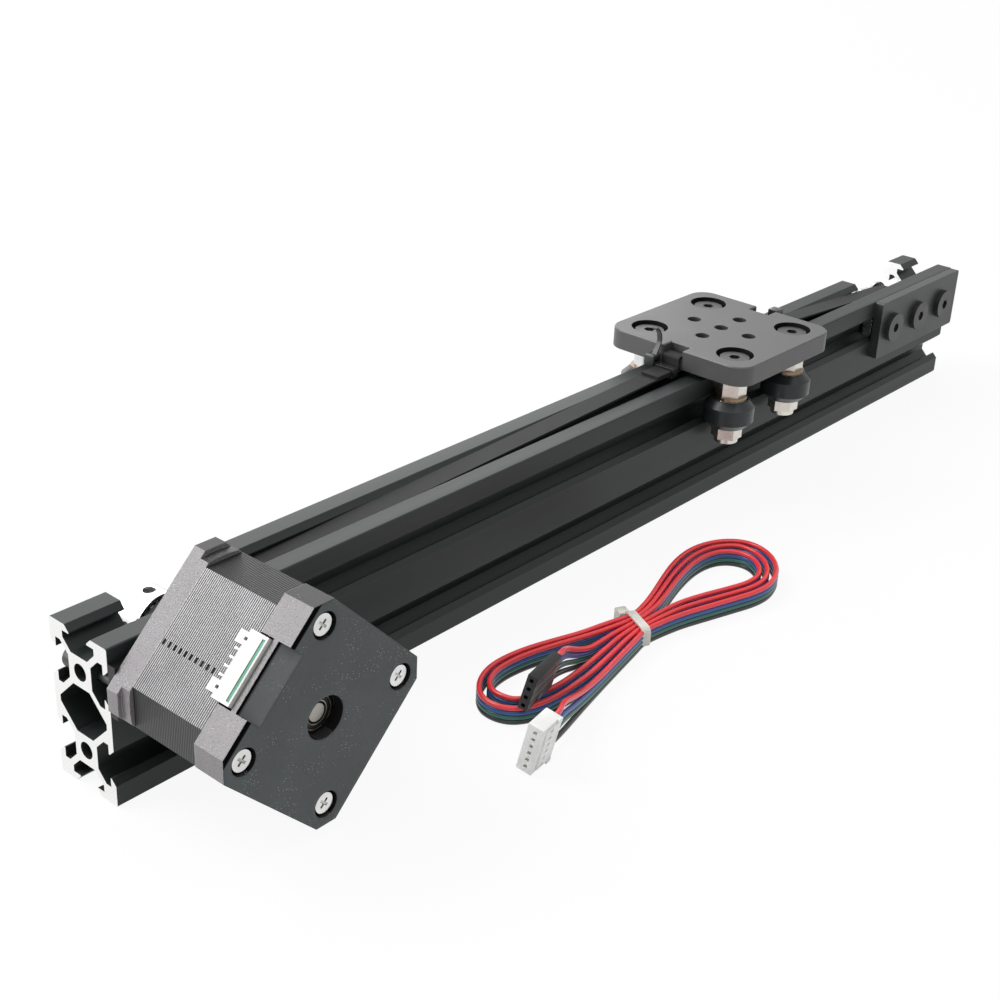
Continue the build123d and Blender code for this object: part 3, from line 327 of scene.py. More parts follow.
def lit_side_face_coating():
    """The bells' rough outer sides, with painted light: a lighter grey than the rear face's coating, and
    lighter along their edges, partly from wear and partly as painted highlight.
    """
    finish = coated_casting("sandy coating painted light grey", (0.14, 0.13, 0.137), sand=0.16, pit_share=0.6)
    finish.worn_and_highlit_edges(width=0.3, amount=0.8, colour=(0.42, 0.42, 0.42))
    return finish.material


def rear_face_coating(name, colour, painted_shade_from):
    """Smoother and darker, with painted black shade beyond a given number of millimetres from the shaft, at
    the socket's side.
    """
    finish = coated_casting(name, colour, sand=0.03, pit_share=0.25, gloss=0.32, rounding=1.2)
    where = add_node(finish.tree, "ShaderNodeSeparateXYZ", Vector=place(finish.tree))
    outward = maths(finish.tree, "MULTIPLY",
                    maths(finish.tree, "SUBTRACT", where.outputs["Z"], where.outputs["X"]), DIAGONAL)
    painted_shade_start = DIAGONAL * (SHAFT_Z - SHAFT_X) + painted_shade_from
    # Painted shade: black and without reflection along the rim beside the socket
    painted_shade_band = ranged(finish.tree, outward, painted_shade_start, painted_shade_start + 0.4)
    finish.tint(painted_shade_band, (0.004, 0.004, 0.004))
    finish.dull(painted_shade_band)
    return finish.material


def laminated_steel(name, colour, metallic=0.75, gloss=0.5, sheet=0.55):
    """The stator's stack of thin sheets, seen from their edges."""
    finish = Finish(name, colour, roughness=0.34, metallic=metallic, Specular_IOR_Level=gloss)
    sheets = finish.waves(math.pi / sheet / 10, "Y", Distortion=0.15)
    gaps = ranged(finish.tree, sheets, 0.5, 0.1)
    finish.grained(size=0.2, unevenness=7.0, shade=1.2)
    finish.tint(gaps, (0.02, 0.02, 0.021))
    finish.relief(sheets, depth=0.08, strength=0.7)
    return finish.material


def moulded(name, colour, roughness=0.4, grain_size=0.15, **sockets):
    """Moulded plastic: a faint grain and a slightly uneven gloss."""
    finish = Finish(name, colour, roughness, **sockets)
    finish.soft_edges(0.12)
    grain = finish.grained(size=grain_size, unevenness=6.0, shade=0.86)
    finish.sheen_between(grain["Patches"], roughness - 0.06, roughness + 0.06)
    finish.relief(grain["Height"], depth=0.008, strength=0.4)
    return finish.material


def belt_rubber():
    """The belt's fabric-faced rubber: a fine weave at a slant across its back."""
    finish = Finish("belt rubber", (0.01, 0.01, 0.011), roughness=0.6, Specular_IOR_Level=0.2)
    weave = finish.waves(0.9, "DIAGONAL")
    threads = finish.waves(0.7, "Y")
    grain = use_group(finish.tree, GRAIN, Size=0.25, Unevenness=18.0)
    finish.tint(maths(finish.tree, "MULTIPLY", weave, 0.5), (0.03, 0.03, 0.032))
    finish.tint(maths(finish.tree, "MULTIPLY", grain["Patches"], 0.5), (0.022, 0.022, 0.023))
    finish.relief(weave, depth=0.05, strength=0.5)
    finish.relief(threads, depth=0.04, strength=0.4)
    return finish.material


def wire_insulation(name, colour):
    """Soft glossy insulation, slightly uneven along the wire."""
    finish = Finish(name, colour, roughness=0.32, Coat_Weight=0.25, Coat_Roughness=0.2)
    grain = finish.grained(size=0.4, unevenness=25.0, shade=0.82)
    finish.sheen_between(grain["Height"], 0.26, 0.42)
    finish.relief(grain["Height"], depth=0.02, strength=0.35)
    return finish.material


def ringed_steel():
    """The rear bearing: dark oiled steel with bright turned rings round its axis."""
    finish = Finish("oiled dark steel", (0.03, 0.029, 0.027), roughness=0.3, metallic=0.8)
    tree = finish.tree
    where = add_node(tree, "ShaderNodeSeparateXYZ", Vector=place(tree))
    squares = [maths(tree, "POWER", maths(tree, "SUBTRACT", where.outputs[axis], middle), 2.0)
               for axis, middle in (("X", SHAFT_X), ("Z", SHAFT_Z))]
    radius = maths(tree, "SQRT", maths(tree, "ADD", *squares))
    ripple = maths(tree, "SINE", maths(tree, "MULTIPLY", radius, 5.2))
    rings = ranged(tree, ripple, 0.75, 0.95)
    grain = use_group(tree, GRAIN, Size=0.3, Unevenness=2.0)
    finish.tint(maths(tree, "MULTIPLY", rings, grain["Patches"]), (0.5, 0.48, 0.42))
    return finish.material


def recess_shade_and_weld_finish():
    """Painted shade at the foot of recesses, matt and nearly black; the stator's dark welds take it too."""
    finish = Finish("painted recess shade and weld black", (0.005, 0.005, 0.005), roughness=0.7, Specular_IOR_Level=0.08)
    finish.grained(size=0.3, unevenness=4.0, shade=2.4)
    return finish.material


def copper_coils():
    """Enamelled copper wire, wound side by side."""
    finish = Finish("enamelled copper", (0.6, 0.22, 0.08), roughness=0.3, metallic=1.0)
    turns = finish.waves(0.8, "DIAGONAL")
    finish.tint(turns, (0.75, 0.36, 0.16))
    finish.relief(turns, depth=0.1, strength=0.8)
    return finish.material


profile_black = anodised_profile()
plate_black = anodised_plate("black anodised plate", (0.04, 0.04, 0.042), gloss=0.7)
idler_plate_black = anodised_plate("black anodised idler plate", (0.022, 0.024, 0.024))
raw_cut = cut_aluminium()
rear_coating = rear_face_coating("smooth black coating", (0.05, 0.057, 0.058), painted_shade_from=19.4)
# Painted light: a lighter copy of the rear face's coating, so that the shaded slope looks like the rear face
slope_coating_painted_lighter = rear_face_coating("smooth black coating painted lighter on the slope", (0.105, 0.112, 0.114), painted_shade_from=20.0)
# Painted shade: a darker copy of the coating for the upward facets of the bells
top_facet_painted_shade = coated_casting("black coating with painted shade", (0.03, 0.03, 0.031), sand=0.05, pit_share=0.3,
                                gloss=0.2).material
# Painted light: the bells' sides are a lighter grey than their rear faces
lit_side_coating = lit_side_face_coating()
sheet_stack = laminated_steel("stacked steel sheets", (0.22, 0.216, 0.22))
# Painted shade: darker copies of the stacked steel for the corners, darkest on the top corner
stack_corner_painted_shade = laminated_steel("stacked steel sheets, painted shade on corners", (0.06, 0.06, 0.062))
stack_top_painted_shade = laminated_steel("stacked steel sheets, painted shade on the top corner", (0.02, 0.02, 0.021), metallic=0.3, gloss=0.12)
bright_steel = machined("bright steel", (0.8, 0.8, 0.79), roughness=0.2)
shaft_steel = machined("ground shaft steel", (0.4, 0.39, 0.35), roughness=0.3)
bearing_steel = ringed_steel()
recess_shade_and_weld_black = recess_shade_and_weld_finish()
zinc_steel = machined("zinc plated steel", (0.74, 0.72, 0.66), roughness=0.28)
black_steel = moulded("blackened steel", (0.02, 0.021, 0.022), roughness=0.35, grain_size=0.3)
brass = machined("turned brass", (0.27, 0.19, 0.125), roughness=0.24)
turned_aluminium = machined("turned aluminium", (0.8, 0.8, 0.81), roughness=0.22, size=0.35)
wheel_plastic = moulded("wheel plastic", (0.022, 0.026, 0.028), roughness=0.3, Specular_IOR_Level=0.35)
board_green = moulded("green circuit board", (0.002, 0.2, 0.11), roughness=0.35, grain_size=0.3)
black_plastic = moulded("black plastic", (0.008, 0.008, 0.009), roughness=0.34, Specular_IOR_Level=0.35)
strap_black = moulded("black nylon strap", (0.02, 0.02, 0.022), roughness=0.3)
socket_plastic = moulded("socket plastic", (0.62, 0.61, 0.59))
white_plastic = moulded("white plastic", (0.88, 0.88, 0.86), Subsurface_Weight=0.1,
                        Subsurface_Scale=0.001)
strap_white = moulded("natural nylon strap", (0.72, 0.7, 0.64), roughness=0.3, Subsurface_Weight=0.3,
                      Subsurface_Scale=0.002)
rubber = belt_rubber()
copper = copper_coils()


def dress(material, *names):
    """Gives CAD nodes their material."""
    for name in names:
        nodes[name].data.materials.clear()
        nodes[name].data.materials.append(material)


def shade_smooth(mesh, degrees=30):
    """Smooth shading, but for the edges that turn by more than so many degrees."""
    mesh.shade_smooth()
    sharp = math.cos(math.radians(degrees))
    work = bmesh.new()
    work.from_mesh(mesh)
    for edge in work.edges:
        if len(edge.link_faces) == 2:
            edge.smooth = edge.link_faces[0].normal.dot(edge.link_faces[1].normal) > sharp
    work.to_mesh(mesh)
    work.free()


wheel_names = [f"wheel_{number}" for number in (1, 2, 3, 4)]
wheel_bearings = [f"{name}_bearings" for name in wheel_names]
dress(profile_black, "profile")
dress(plate_black, "gantry_plate")
dress(idler_plate_black, "idler_plate")
dress(lit_side_coating, "motor_front_bell", "motor_rear_cover")
dress(sheet_stack, "motor_stator", "motor_rotor")
dress(copper, "motor_windings")
dress(bearing_steel, "rear_bearing")
dress(shaft_steel, "motor_shaft")
dress(bright_steel, "motor_screws", "front_bearing", "idler_bearings", "wheel_shims", "tee_nuts",
      "idler_axle_spacers", "socket_pins", *wheel_bearings)
dress(black_steel, "wheel_screws", "idler_plate_screws", "idler_axle_screw", "pulley_grub_screws",
      "motor_fixing_screws")
dress(zinc_steel, "lock_nuts", "idler_axle_nut", "eccentric_spacers")
dress(turned_aluminium, "drive_pulley", "idler_pulley", "fixed_spacers")
dress(brass, "brass_shims")
dress(wheel_plastic, *wheel_names)
dress(black_plastic, "motor_spacers")
dress(socket_plastic, "motor_socket")
dress(board_green, "circuit_board")
dress(rubber, "belt_lower_run", "belt_upper_motor_side", "belt_upper_idler_side", "belt_end_motor_side",
      "belt_end_idler_side")


def dress_faces(name, material, chosen):
    """Gives a CAD node a further material, on faces chosen by their middle, in millimetres, and normal."""
    mesh = nodes[name].data
    mesh.materials.append(material)
    for face in mesh.polygons:
        if chosen(face.center / MM, face.normal):
            face.material_index = len(mesh.materials) - 1


def bare_where_cut(middle, normal):
    """The profile's sawn ends and milled windows."""
    in_window = any(start - 0.1 < middle.x < end + 0.1 for start, end in WINDOWS)
    past_wall = middle.z > WINDOW_FLOOR - 0.1 and middle.y > WINDOW_BACK - 0.01
    milled = in_window and past_wall and (normal.y > 0.99 or middle.z < WINDOW_FLOOR + 2.1)
    return milled or abs(normal.x) > 0.99


def counterbore(middle, normal):
    """The gantry plate's counterbores, painted with shade round their screw heads."""
    from_screw = math.hypot(abs(middle.x - CARRIAGE_X) - PLATE_SCREW_X, abs(middle.y) - PLATE_SCREW_Y)
    return from_screw < 5.7 and 42.5 < middle.z < 47.9


def rear_cover_faces():
    """Sandy outer sides with painted light, a smooth dark rear face, a slope painted lighter, painted shade
    on the upward facet, and painted black shade in its screw recesses and its hole.
    """
    mesh = nodes["motor_rear_cover"].data
    for material in (rear_coating, recess_shade_and_weld_black, slope_coating_painted_lighter, top_facet_painted_shade):
        mesh.materials.append(material)
    smooth, recess, slope, shaded = 1, 2, 3, 4
    side_from, recess_floor, screw_recess, hole = 19, -47.3, 3.4, 8
    slope_from, slope_half_width = 15, 12
    for face in mesh.polygons:
        x, z = face.center.x / MM - SHAFT_X, face.center.z / MM - SHAFT_Z
        along_side, from_shaft = abs(DIAGONAL * (x + z)), DIAGONAL * (z - x)
        screw_gap = math.hypot(along_side - MOTOR_SCREW, abs(from_shaft) - MOTOR_SCREW)
        steep = abs(face.normal.y) < 0.5
        outward = face.normal.x * x + face.normal.z * z > 0
        outermost = max(along_side, abs(from_shaft)) > side_from
        if steep and outward and outermost and face.normal.z < 0.9:
            continue
        # Upward facets get painted shade
        if face.normal.z > 0.9:
            face.material_index = shaded
        # Painted black shade in the screw recesses and the hole
        elif (steep or face.center.y / MM > recess_floor) and (screw_gap < screw_recess
                                                               or math.hypot(x, z) < hole):
            face.material_index = recess
        # The slope takes the copy of the rear coating that is painted lighter
        elif 0.5 < -face.normal.y < 0.98 and from_shaft > slope_from and along_side < slope_half_width:
            face.material_index = slope
        else:
            face.material_index = smooth


dress_faces("profile", raw_cut, bare_where_cut)
dress_faces("gantry_plate", recess_shade_and_weld_black, counterbore)
rear_cover_faces()
# The stator's corners and top corner get the copies with painted shade
dress_faces("motor_stator", stack_corner_painted_shade, lambda middle, normal: max(abs(normal.x), abs(normal.z)) > 0.95)
dress_faces("motor_stator", stack_top_painted_shade, lambda middle, normal: normal.z > 0.95)
# The front bell's upward facets get painted shade
dress_faces("motor_front_bell", top_facet_painted_shade, lambda middle, normal: normal.z > 0.9)
for part in nodes.values():
    shade_smooth(part.data)


# Loose cable: four bonded wires on edge, wound into a hank that a strap holds
right_loop_outer = [
    (135.7, -50.5), (143.1, -51.4), (150.0, -52.7), (158.3, -55.3), (166.7, -57.9), (173.9, -60.1),
    (181.0, -60.3), (189.1, -57.1), (195.1, -50.6), (196.8, -43.6), (193.9, -38.1), (188.2, -34.5),
    (180.7, -33.0), (171.1, -34.3), (160.6, -37.8), (150.8, -41.4), (143.5, -43.3), (139.1, -43.8),
]
left_loop_outer = [
    (131.7, -41.6), (123.0, -39.9), (115.0, -37.2), (107.5, -34.9), (99.7, -33.7), (93.1, -34.1),
    (87.2, -36.6), (83.2, -40.6), (82.2, -44.9), (83.4, -49.3), (87.0, -52.3), (92.4, -53.8),
    (100.2, -54.2), (109.2, -53.7), (120.7, -51.6), (129.5, -49.9),
]
right_loop_middle = [
    (136.4, -49.15), (145.0, -49.8), (152.0, -50.6), (160.0, -53.0), (168.3, -55.8), (175.6, -58.0),
    (182.3, -57.7), (188.7, -54.0), (192.7, -48.2), (193.4, -42.4), (190.5, -38.9), (185.6, -36.3),
    (178.2, -35.5), (168.3, -37.2), (158.5, -40.4), (149.2, -43.5), (143.5, -44.8), (138.45, -45.15),
]
left_loop_inner = [
    (130.5, -43.6), (124.2, -42.2), (113.0, -38.6), (104.4, -36.4), (96.7, -35.8), (90.6, -37.1),
    (86.8, -40.8), (86.5, -44.6), (87.7, -48.4), (92.8, -50.2), (99.4, -51.4), (109.7, -50.8),
    (120.0, -49.3), (129.0, -47.9), (137.1, -47.8),
]
right_loop_inner = [
    (146.8, -48.0), (153.9, -48.5), (161.8, -50.7), (169.9, -53.6), (177.2, -55.8), (183.3, -55.0),
    (188.2, -51.0), (190.1, -45.8), (188.2, -41.2), (183.6, -38.5), (175.8, -38.0), (165.6, -40.1),
    (156.5, -43.0), (147.6, -45.6), (137.8, -46.5),
]
hank_turns = right_loop_outer + left_loop_outer + right_loop_middle + left_loop_inner + right_loop_inner
WIRE = 1.3
WIRE_THICK = 1.4
WIRE_COUNT = 4
WHITE_PLUG = (7.8, 4.6, 13.4)
WHITE_PLUG_WAYS, WHITE_PLUG_PITCH = 6, 2.0
BLACK_PLUG = (12.6, 2.6, 10.2)
BLACK_PLUG_PITCH = 2.54


def plug_frame(x, y, z, heading, lean):
    """The foot of a plug that stands on its end: x along the plug, z up its rows."""
    heading, lean = math.radians(heading), math.radians(lean)
    along = Vector((math.cos(heading), math.sin(heading), 0))
    up = Vector((math.sin(heading) * math.sin(lean), -math.cos(heading) * math.sin(lean), math.cos(lean)))
    return Matrix.Translation(point(x, y, z)) @ Matrix((along, up.cross(along), up)).transposed().to_4x4()


def row_height(plug, pitch, step):
    """The height of a plug's contact that lies so many steps above its middle."""
    return plug[2] / 2 + pitch * step


motor_foot = plug_frame(75.3, -64.2, WHITE_PLUG[1] / 2 * math.sin(math.radians(12)), heading=9, lean=12)
driver_foot = plug_frame(90.6, -51.4, WIRE * WIRE_COUNT + 0.35, heading=12, lean=14)
motor_rows = [row_height(WHITE_PLUG, WHITE_PLUG_PITCH, step) for step in (2.5, 0.5, -0.5, -2.5)]
driver_rows = [row_height(BLACK_PLUG, BLACK_PLUG_PITCH, step) for step in (1.5, 0.5, -0.5, -1.5)]
motor_lead = [
    (88.0, -62.2, 0.8), (94.5, -60.3, 0.45), (102.0, -58.2, 0.15), (111.0, -56.0, 0), (121.0, -53.8, 0),
    (131.5, -51.6, 0),
]
driver_lead = [
    (105.5, -48.6, 0.72), (111.5, -47.6, 0.35), (117.5, -46.7, 0.08), (123.0, -46.1, 0),
    (129.5, -45.9, 0),
]


def lead_points(foot, plug, row, level, low_points):
    """From the plug's end at its row down to the ribbon's level."""
    plug_end = plug[0] / 2
    start = foot @ point(plug_end, 0, row)
    points = [start, foot @ point(plug_end + 3, 0, row)]
    for x, y, share in low_points:
        points.append(point(x, y, level + share * (start.z / MM - level)))
    return points


def cable_wire(name, index, material):
    """One wire of the ribbon, from the motor's plug through the hank's turns to the driver's plug."""
    level = WIRE * (WIRE_COUNT - 0.5 - index) + (WIRE_THICK - WIRE) / 2
    points = lead_points(motor_foot, WHITE_PLUG, motor_rows[index], level, motor_lead)
    points += [point(x, y, level) for x, y in hank_turns]
    points += reversed(lead_points(driver_foot, BLACK_PLUG, driver_rows[index], level, driver_lead))
    line = bpy.data.curves.new(name, "CURVE")
    line.dimensions = "3D"
    line.bevel_depth = WIRE_THICK / 2 * MM
    line.bevel_resolution = 3
    line.resolution_u = 5
    line.use_fill_caps = True
    spline = line.splines.new("NURBS")
    spline.points.add(len(points) - 1)
    for target, where in zip(spline.points, points):
        target.co = (*where, 1)
    spline.order_u = 3
    spline.use_endpoint_u = True
    line.materials.append(material)
    wire = bpy.data.objects.new(name, line)
    bpy.context.scene.collection.objects.link(wire)
    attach(wire, "frame")
    return wire, points[0]


def piece(name, mesh, material, body):
    """A mesh piece of the object, riding on a body."""
    mesh.materials.append(material)
    thing = bpy.data.objects.new(name, mesh)
    bpy.context.scene.collection.objects.link(thing)
    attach(thing, body)
    return thing


def mesh_of(name, work):
    """A mesh from what was built in work, with its faces turned outwards."""
    bmesh.ops.recalc_face_normals(work, faces=work.faces)
    mesh = bpy.data.meshes.new(name)
    work.to_mesh(mesh)
    work.free()
    return mesh


def add_block(work, low, high, turn):
    """A block between two corners in millimetres, placed by turn."""
    corners = [Vector((x, y, z)) * MM for z in (low[2], high[2]) for y in (low[1], high[1])
               for x in (low[0], high[0])]
    spots = [work.verts.new(turn @ corner) for corner in corners]
    for ring in ((0, 2, 3, 1), (4, 5, 7, 6), (0, 1, 5, 4), (2, 6, 7, 3), (0, 4, 6, 2), (1, 3, 7, 5)):
        work.faces.new([spots[i] for i in ring])


def blocks_mesh(name, blocks, turn=Matrix.Identity(4), bevel=0.0):
    """Several blocks as one mesh, with their edges bevelled by so many millimetres."""
    work = bmesh.new()
    for low, high in blocks:
        add_block(work, low, high, turn)
    if bevel:
        bmesh.ops.bevel(work, geom=work.edges, offset=bevel * MM, segments=2, affect="EDGES", profile=0.6)
    return mesh_of(name, work)


def carve(thing, blocks, turn=Matrix.Identity(4)):
    """Cuts blocks out of a piece, and leaves the result as the piece's own mesh."""
    cutter = bpy.data.objects.new("cutter", blocks_mesh("cutter", blocks, turn))
    bpy.context.scene.collection.objects.link(cutter)
    cut = thing.modifiers.new("cut", "BOOLEAN")
    cut.object = cutter
    cut.solver = "EXACT"
    bpy.context.view_layer.update()
    seen = thing.evaluated_get(bpy.context.evaluated_depsgraph_get())
    result = bpy.data.meshes.new_from_object(seen)
    thing.modifiers.clear()
    thing.data = result
    bpy.data.objects.remove(cutter)


def plug_housing(name, blocks, cutters, bevel, material, foot):
    """A plug's body from blocks, with its openings cut out, standing on its foot."""
    housing = piece(name, blocks_mesh(name, blocks, bevel=bevel), material, "frame")
    carve(housing, cutters)
    housing.data.transform(foot)
    shade_smooth(housing.data)
    return housing


def motor_plug_piece():
    """A flat housing for crimped contacts: rails on its side and a window over each contact."""
    x, y, z = WHITE_PLUG[0] / 2, WHITE_PLUG[1] / 2, WHITE_PLUG[2]
    body_side = -y + 0.5
    rail_side, rail_root = -y - 0.1, -y + 0.6
    body = [((-x, body_side, 0), (x, y, z)), ((-x + 1.6, -y, 0.9), (x, rail_root, z - 0.9))]
    rails = [((x - 1.8, rail_side, 0), (x, rail_root, 1.1)),
             ((x - 1.8, rail_side, z - 1.1), (x, rail_root, z))]
    openings = []
    for way in range(WHITE_PLUG_WAYS):
        row = row_height(WHITE_PLUG, WHITE_PLUG_PITCH, way - 2.5)
        mouth = ((-x - 1, -0.35, row - 0.42), (-x + 3, 0.55, row + 0.42))
        window = ((-0.9, -y - 1, row - 0.4), (0.3, -y + 0.45, row + 0.4))
        wire_hole = ((x - 1.2, -0.9, row - 0.72), (x + 1, 0.9, row + 0.72))
        openings += [mouth, window, wire_hole]
    return plug_housing("motor_plug_housing", body + rails, openings, 0.18, white_plastic,
                        motor_foot)


def driver_plug_piece():
    """A single-row square-pin housing with a latch window over each contact."""
    x, y, z = BLACK_PLUG[0] / 2, BLACK_PLUG[1] / 2, BLACK_PLUG[2]
    openings = []
    for way in range(WIRE_COUNT):
        row = row_height(BLACK_PLUG, BLACK_PLUG_PITCH, way - 1.5)
        mouth = ((-x - 1, -0.5, row - 0.5), (-x + 3, 0.5, row + 0.5))
        wire_hole = ((x - 2, -0.85, row - 0.85), (x + 1, 0.85, row + 0.85))
        latch_window = ((0.5, y - 0.35, row - 0.8), (3.4, y + 1, row + 0.8))
        openings += [mouth, wire_hole, latch_window]
    for gap in range(WIRE_COUNT - 1):
        row = row_height(BLACK_PLUG, BLACK_PLUG_PITCH, gap - 1)
        openings.append(((-x - 1, -y - 1, row - 0.12), (x + 1, -y + 0.12, row + 0.12)))
    return plug_housing("driver_plug_housing", [((-x, -y, 0), (x, y, z))], openings, 0.12, black_plastic,
                        driver_foot)


def strap_mesh(name, outline, width, thickness, turn, closed=True):
    """A flat strap along outline, whose points are in the turn's own X and Z, in millimetres."""
    work = bmesh.new()
    count = len(outline)
    rings = []
    for i, (x, z) in enumerate(outline):
        before = Vector(outline[i - 1]) if closed or i else Vector(outline[0])
        after = Vector(outline[(i + 1) % count]) if closed or i < count - 1 else Vector(outline[-1])
        run = (after - before).normalized()
        out = Vector((run.y, -run.x)) * thickness / 2
        ring = []
        for across, side in ((-1, 1), (1, 1), (1, -1), (-1, -1)):
            spot = Vector((x + out.x * side, across * width / 2, z + out.y * side)) * MM
            ring.append(work.verts.new(turn @ spot))
        rings.append(ring)
    last = count if closed else count - 1
    for i in range(last):
        here, there = rings[i], rings[(i + 1) % count]
        for corner in range(4):
            after = (corner + 1) % 4
            work.faces.new((here[corner], here[after], there[after], there[corner]))
    if not closed:
        work.faces.new(rings[0])
        work.faces.new(reversed(rings[-1]))
    return mesh_of(name, work)


def rounded_outline(half_width, low, high, radius, steps=5):
    """A rounded rectangle from low to high, as points."""
    points = []
    corners = ((half_width, low, 270), (half_width, high, 0), (-half_width, high, 90),
               (-half_width, low, 180))
    for corner_x, corner_z, start in corners:
        centre_x = corner_x - math.copysign(radius, corner_x)
        centre_z = corner_z + (radius if corner_z == low else -radius)
        for step in range(steps + 1):
            angle = math.radians(start + 90 * step / steps)
            points.append((centre_x + radius * math.cos(angle), centre_z + radius * math.sin(angle)))
    return points


def hank_strap():
    """The nylon strap round the hank: a band with a slotted head at its upper-left side."""
    across, up = Vector((-0.453, -0.893, 0)), Vector((0, 0, 1))
    turn = (Matrix.Translation(point(137.4, -47.1, 0))
            @ Matrix((across, up.cross(across), up)).transposed().to_4x4())
    outline = rounded_outline(half_width=5.2, low=0.32, high=5.6, radius=1.4)
    band = strap_mesh("hank_strap", outline, width=2.4, thickness=0.6, turn=turn)
    strap = piece("hank_strap", band, strap_white, "frame")
    head_mesh = blocks_mesh("hank_strap_head", [((-9.2, -2.4, 0.6), (-5.6, 0.8, 4.7))], bevel=0.5)
    head_mesh.transform(turn)
    head = piece("hank_strap_head", head_mesh, strap_white, "frame")
    carve(head, [((-9.5, -1.7, 2.0), (-5.0, 0.1, 3.3))], turn)
    for thing in (strap, head):
        shade_smooth(thing.data, 40)
    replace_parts(strap, "cable_tie")
    return [strap, head]


def belt_strap(name, strap_x, head_low, head_high):
    """A thin strap round the belt's folded end at strap_x, with a slotted head."""
    across = Matrix.Translation(point(strap_x, 0, 0)) @ Matrix.Rotation(math.radians(90), 4, "Z")
    outline = rounded_outline(half_width=3.4, low=40.2, high=42.95, radius=0.5, steps=3)
    band = strap_mesh(name, outline, width=2.3, thickness=0.45, turn=across)
    strap = piece(name, band, strap_black, "carriage")
    head_name = name + "_head"
    head = piece(head_name, blocks_mesh(head_name, [(head_low, head_high)], bevel=0.45), strap_black,
                 "carriage")
    x, y, z = [(low + high) / 2 for low, high in zip(head_low, head_high)]
    carve(head, [((x - 1.1, y - 3, z - 0.5), (x + 1.1, y + 3, z + 0.6))])
    for thing in (strap, head):
        shade_smooth(thing.data, 40)
    return strap


def strap_tail():
    """The near strap's cut tail, which curls up beside the plate's notch."""
    side = Matrix.Translation(point(0, 4.6, 0))
    curl = [(208.6, 44.6), (209.6, 46.4), (210.6, 47.9), (211.1, 49.6), (210.7, 51.4), (209.6, 53.0),
            (208.2, 54.0)]
    tail_mesh = strap_mesh("belt_strap_tail", curl, width=1.6, thickness=0.4, turn=side, closed=False)
    tail = piece("belt_strap_tail", tail_mesh, strap_black, "carriage")
    shade_smooth(tail.data, 60)


def stator_seam(count=10, first=-19.0, spacing=1.72, length=0.6):
    """The row of short dark welds along the stator's upper left face."""
    across, out = Vector((DIAGONAL, 0, DIAGONAL)), Vector((-DIAGONAL, 0, DIAGONAL))
    turn = (Matrix.Translation(point(SHAFT_X, 0, SHAFT_Z))
            @ Matrix((across, out.cross(across), out)).transposed().to_4x4())
    welds = []
    for step in range(count):
        y = first - spacing * step
        welds.append(((-3.8, y - length, 20.8), (-2.5, y, 21.2)))
    piece("stator_seam", blocks_mesh("stator_seam", welds, turn), recess_shade_and_weld_black, "frame")


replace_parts(belt_strap("belt_strap_near", 208.8, (207.0, 3.35, 41.9), (210.6, 6.9, 45.4)), "belt_ties")
belt_strap("belt_strap_far", 267.8, (266.0, -1.8, 43.0), (269.6, 1.8, 46.6))
strap_tail()
stator_seam()

wire_colours = [("red", (0.82, 0.035, 0.045)), ("blue", (0.014, 0.075, 0.3)), ("green", (0.008, 0.12, 0.09)),
                ("black", (0.014, 0.016, 0.018))]
wires = []
for index, (colour_name, colour) in enumerate(wire_colours):
    finish = wire_insulation(f"{colour_name} insulation", colour)
    wires.append(cable_wire(f"cable_wire_{colour_name}", index, finish))
motor_plug = motor_plug_piece()
driver_plug = driver_plug_piece()
strap_pieces = hank_strap()
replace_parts(wires[0][0], "cable_hank", "motor_lead_wires", "driver_lead_wires")
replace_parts(motor_plug, "motor_plug")
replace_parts(driver_plug, "driver_plug")


# Floor, world and lamps
def seen_directly(tree):
    """1 for rays that come from the camera, a glossy surface or glass."""
    path = tree.nodes.new("ShaderNodeLightPath")
    seen = maths(tree, "MAXIMUM", path.outputs["Is Camera Ray"], path.outputs["Is Glossy Ray"])
    return maths(tree, "MAXIMUM", seen, path.outputs["Is Transmission Ray"])


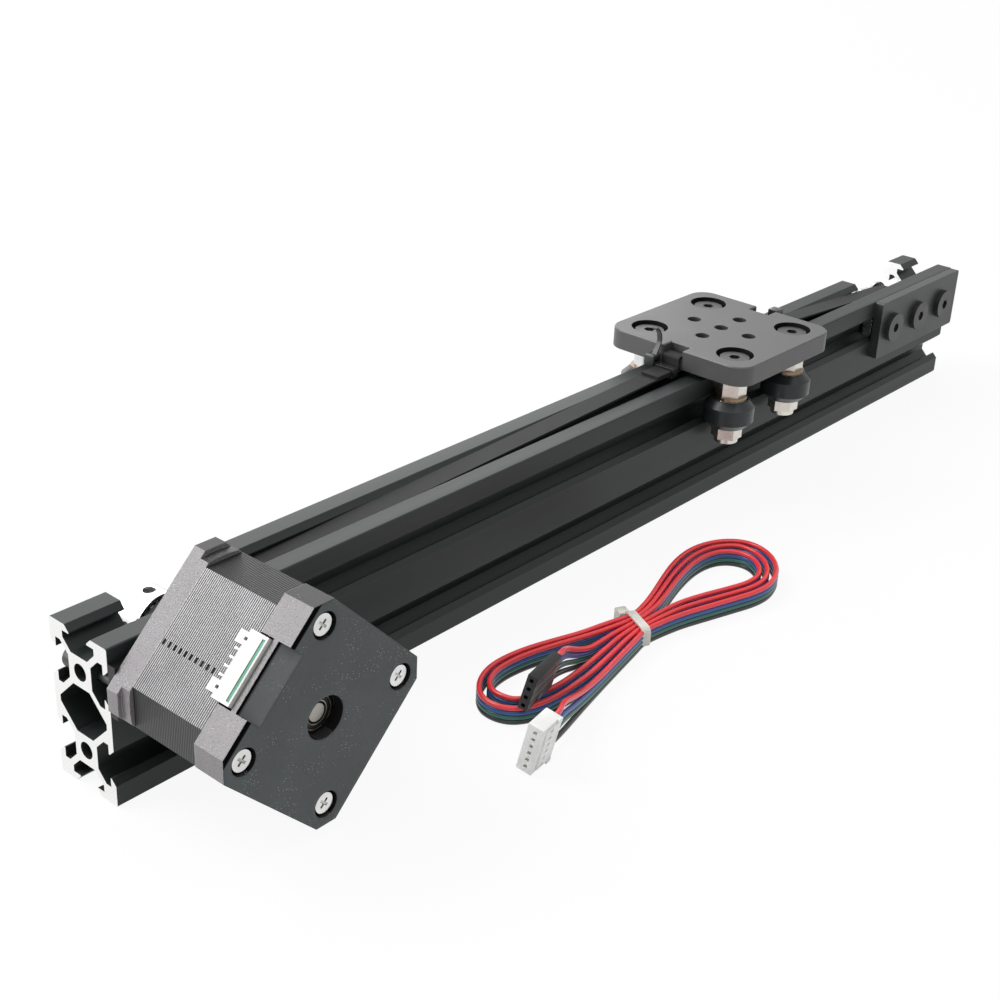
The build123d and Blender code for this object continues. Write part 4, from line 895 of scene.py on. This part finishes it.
floor_mesh = bpy.data.meshes.new("floor")
floor_mesh.from_pydata([(-4, -4, 0), (4, -4, 0), (4, 4, 0), (-4, 4, 0)], [], [(0, 1, 2, 3)])
floor = bpy.data.objects.new("floor", floor_mesh)
floor.location.z = -0.1 * MM
bpy.context.scene.collection.objects.link(floor)
floor_material = bpy.data.materials.new("white floor")
floor_material.use_nodes = True
floor_tree = floor_material.node_tree
floor_tree.nodes.clear()
matt = add_node(floor_tree, "ShaderNodeBsdfDiffuse", Color=(0.8, 0.8, 0.8, 1))
glow = add_node(floor_tree, "ShaderNodeEmission", Color=(1, 1, 1, 1), Strength=1.0)
blend = floor_tree.nodes.new("ShaderNodeMixShader")
glow_share = 0.92
floor_tree.links.new(maths(floor_tree, "MULTIPLY", seen_directly(floor_tree), glow_share), blend.inputs[0])
floor_tree.links.new(matt.outputs[0], blend.inputs[1])
floor_tree.links.new(glow.outputs[0], blend.inputs[2])
floor_tree.links.new(blend.outputs[0], floor_tree.nodes.new("ShaderNodeOutputMaterial").inputs[0])
floor_mesh.materials.append(floor_material)

world = bpy.data.worlds.new("white room")
bpy.context.scene.world = world
world.use_nodes = True
world_tree = world.node_tree
background = world_tree.nodes["Background"]
background.inputs["Color"].default_value = (1, 1, 1, 1)
light_of_room, white = 0.5, 1.0
brightness = ranged(world_tree, seen_directly(world_tree), 0, 1, light_of_room, white)
world_tree.links.new(brightness, background.inputs["Strength"])


def softbox(name, direction, distance, size, watts):
    """A square area lamp that looks at the object's middle from a direction."""
    middle = point(190, -10, 25)
    lamp = bpy.data.lights.new(name, "AREA")
    lamp.size = size
    lamp.energy = watts
    holder = bpy.data.objects.new(name, lamp)
    away = Vector(direction).normalized()
    holder.matrix_world = (Matrix.Translation(middle + away * distance)
                           @ away.to_track_quat("Z", "Y").to_matrix().to_4x4())
    bpy.context.scene.collection.objects.link(holder)


softbox("left light", (-0.445, 0.577, 0.685), distance=1.4, size=0.9, watts=17)
softbox("side light", (-0.85, 0.52, 0.13), distance=1.5, size=0.9, watts=10)
softbox("top light", (-0.1, -0.3, 1), distance=1.5, size=1.4, watts=5)
softbox("back light", (0.5, 0.77, 0.42), distance=1.8, size=1.4, watts=12)
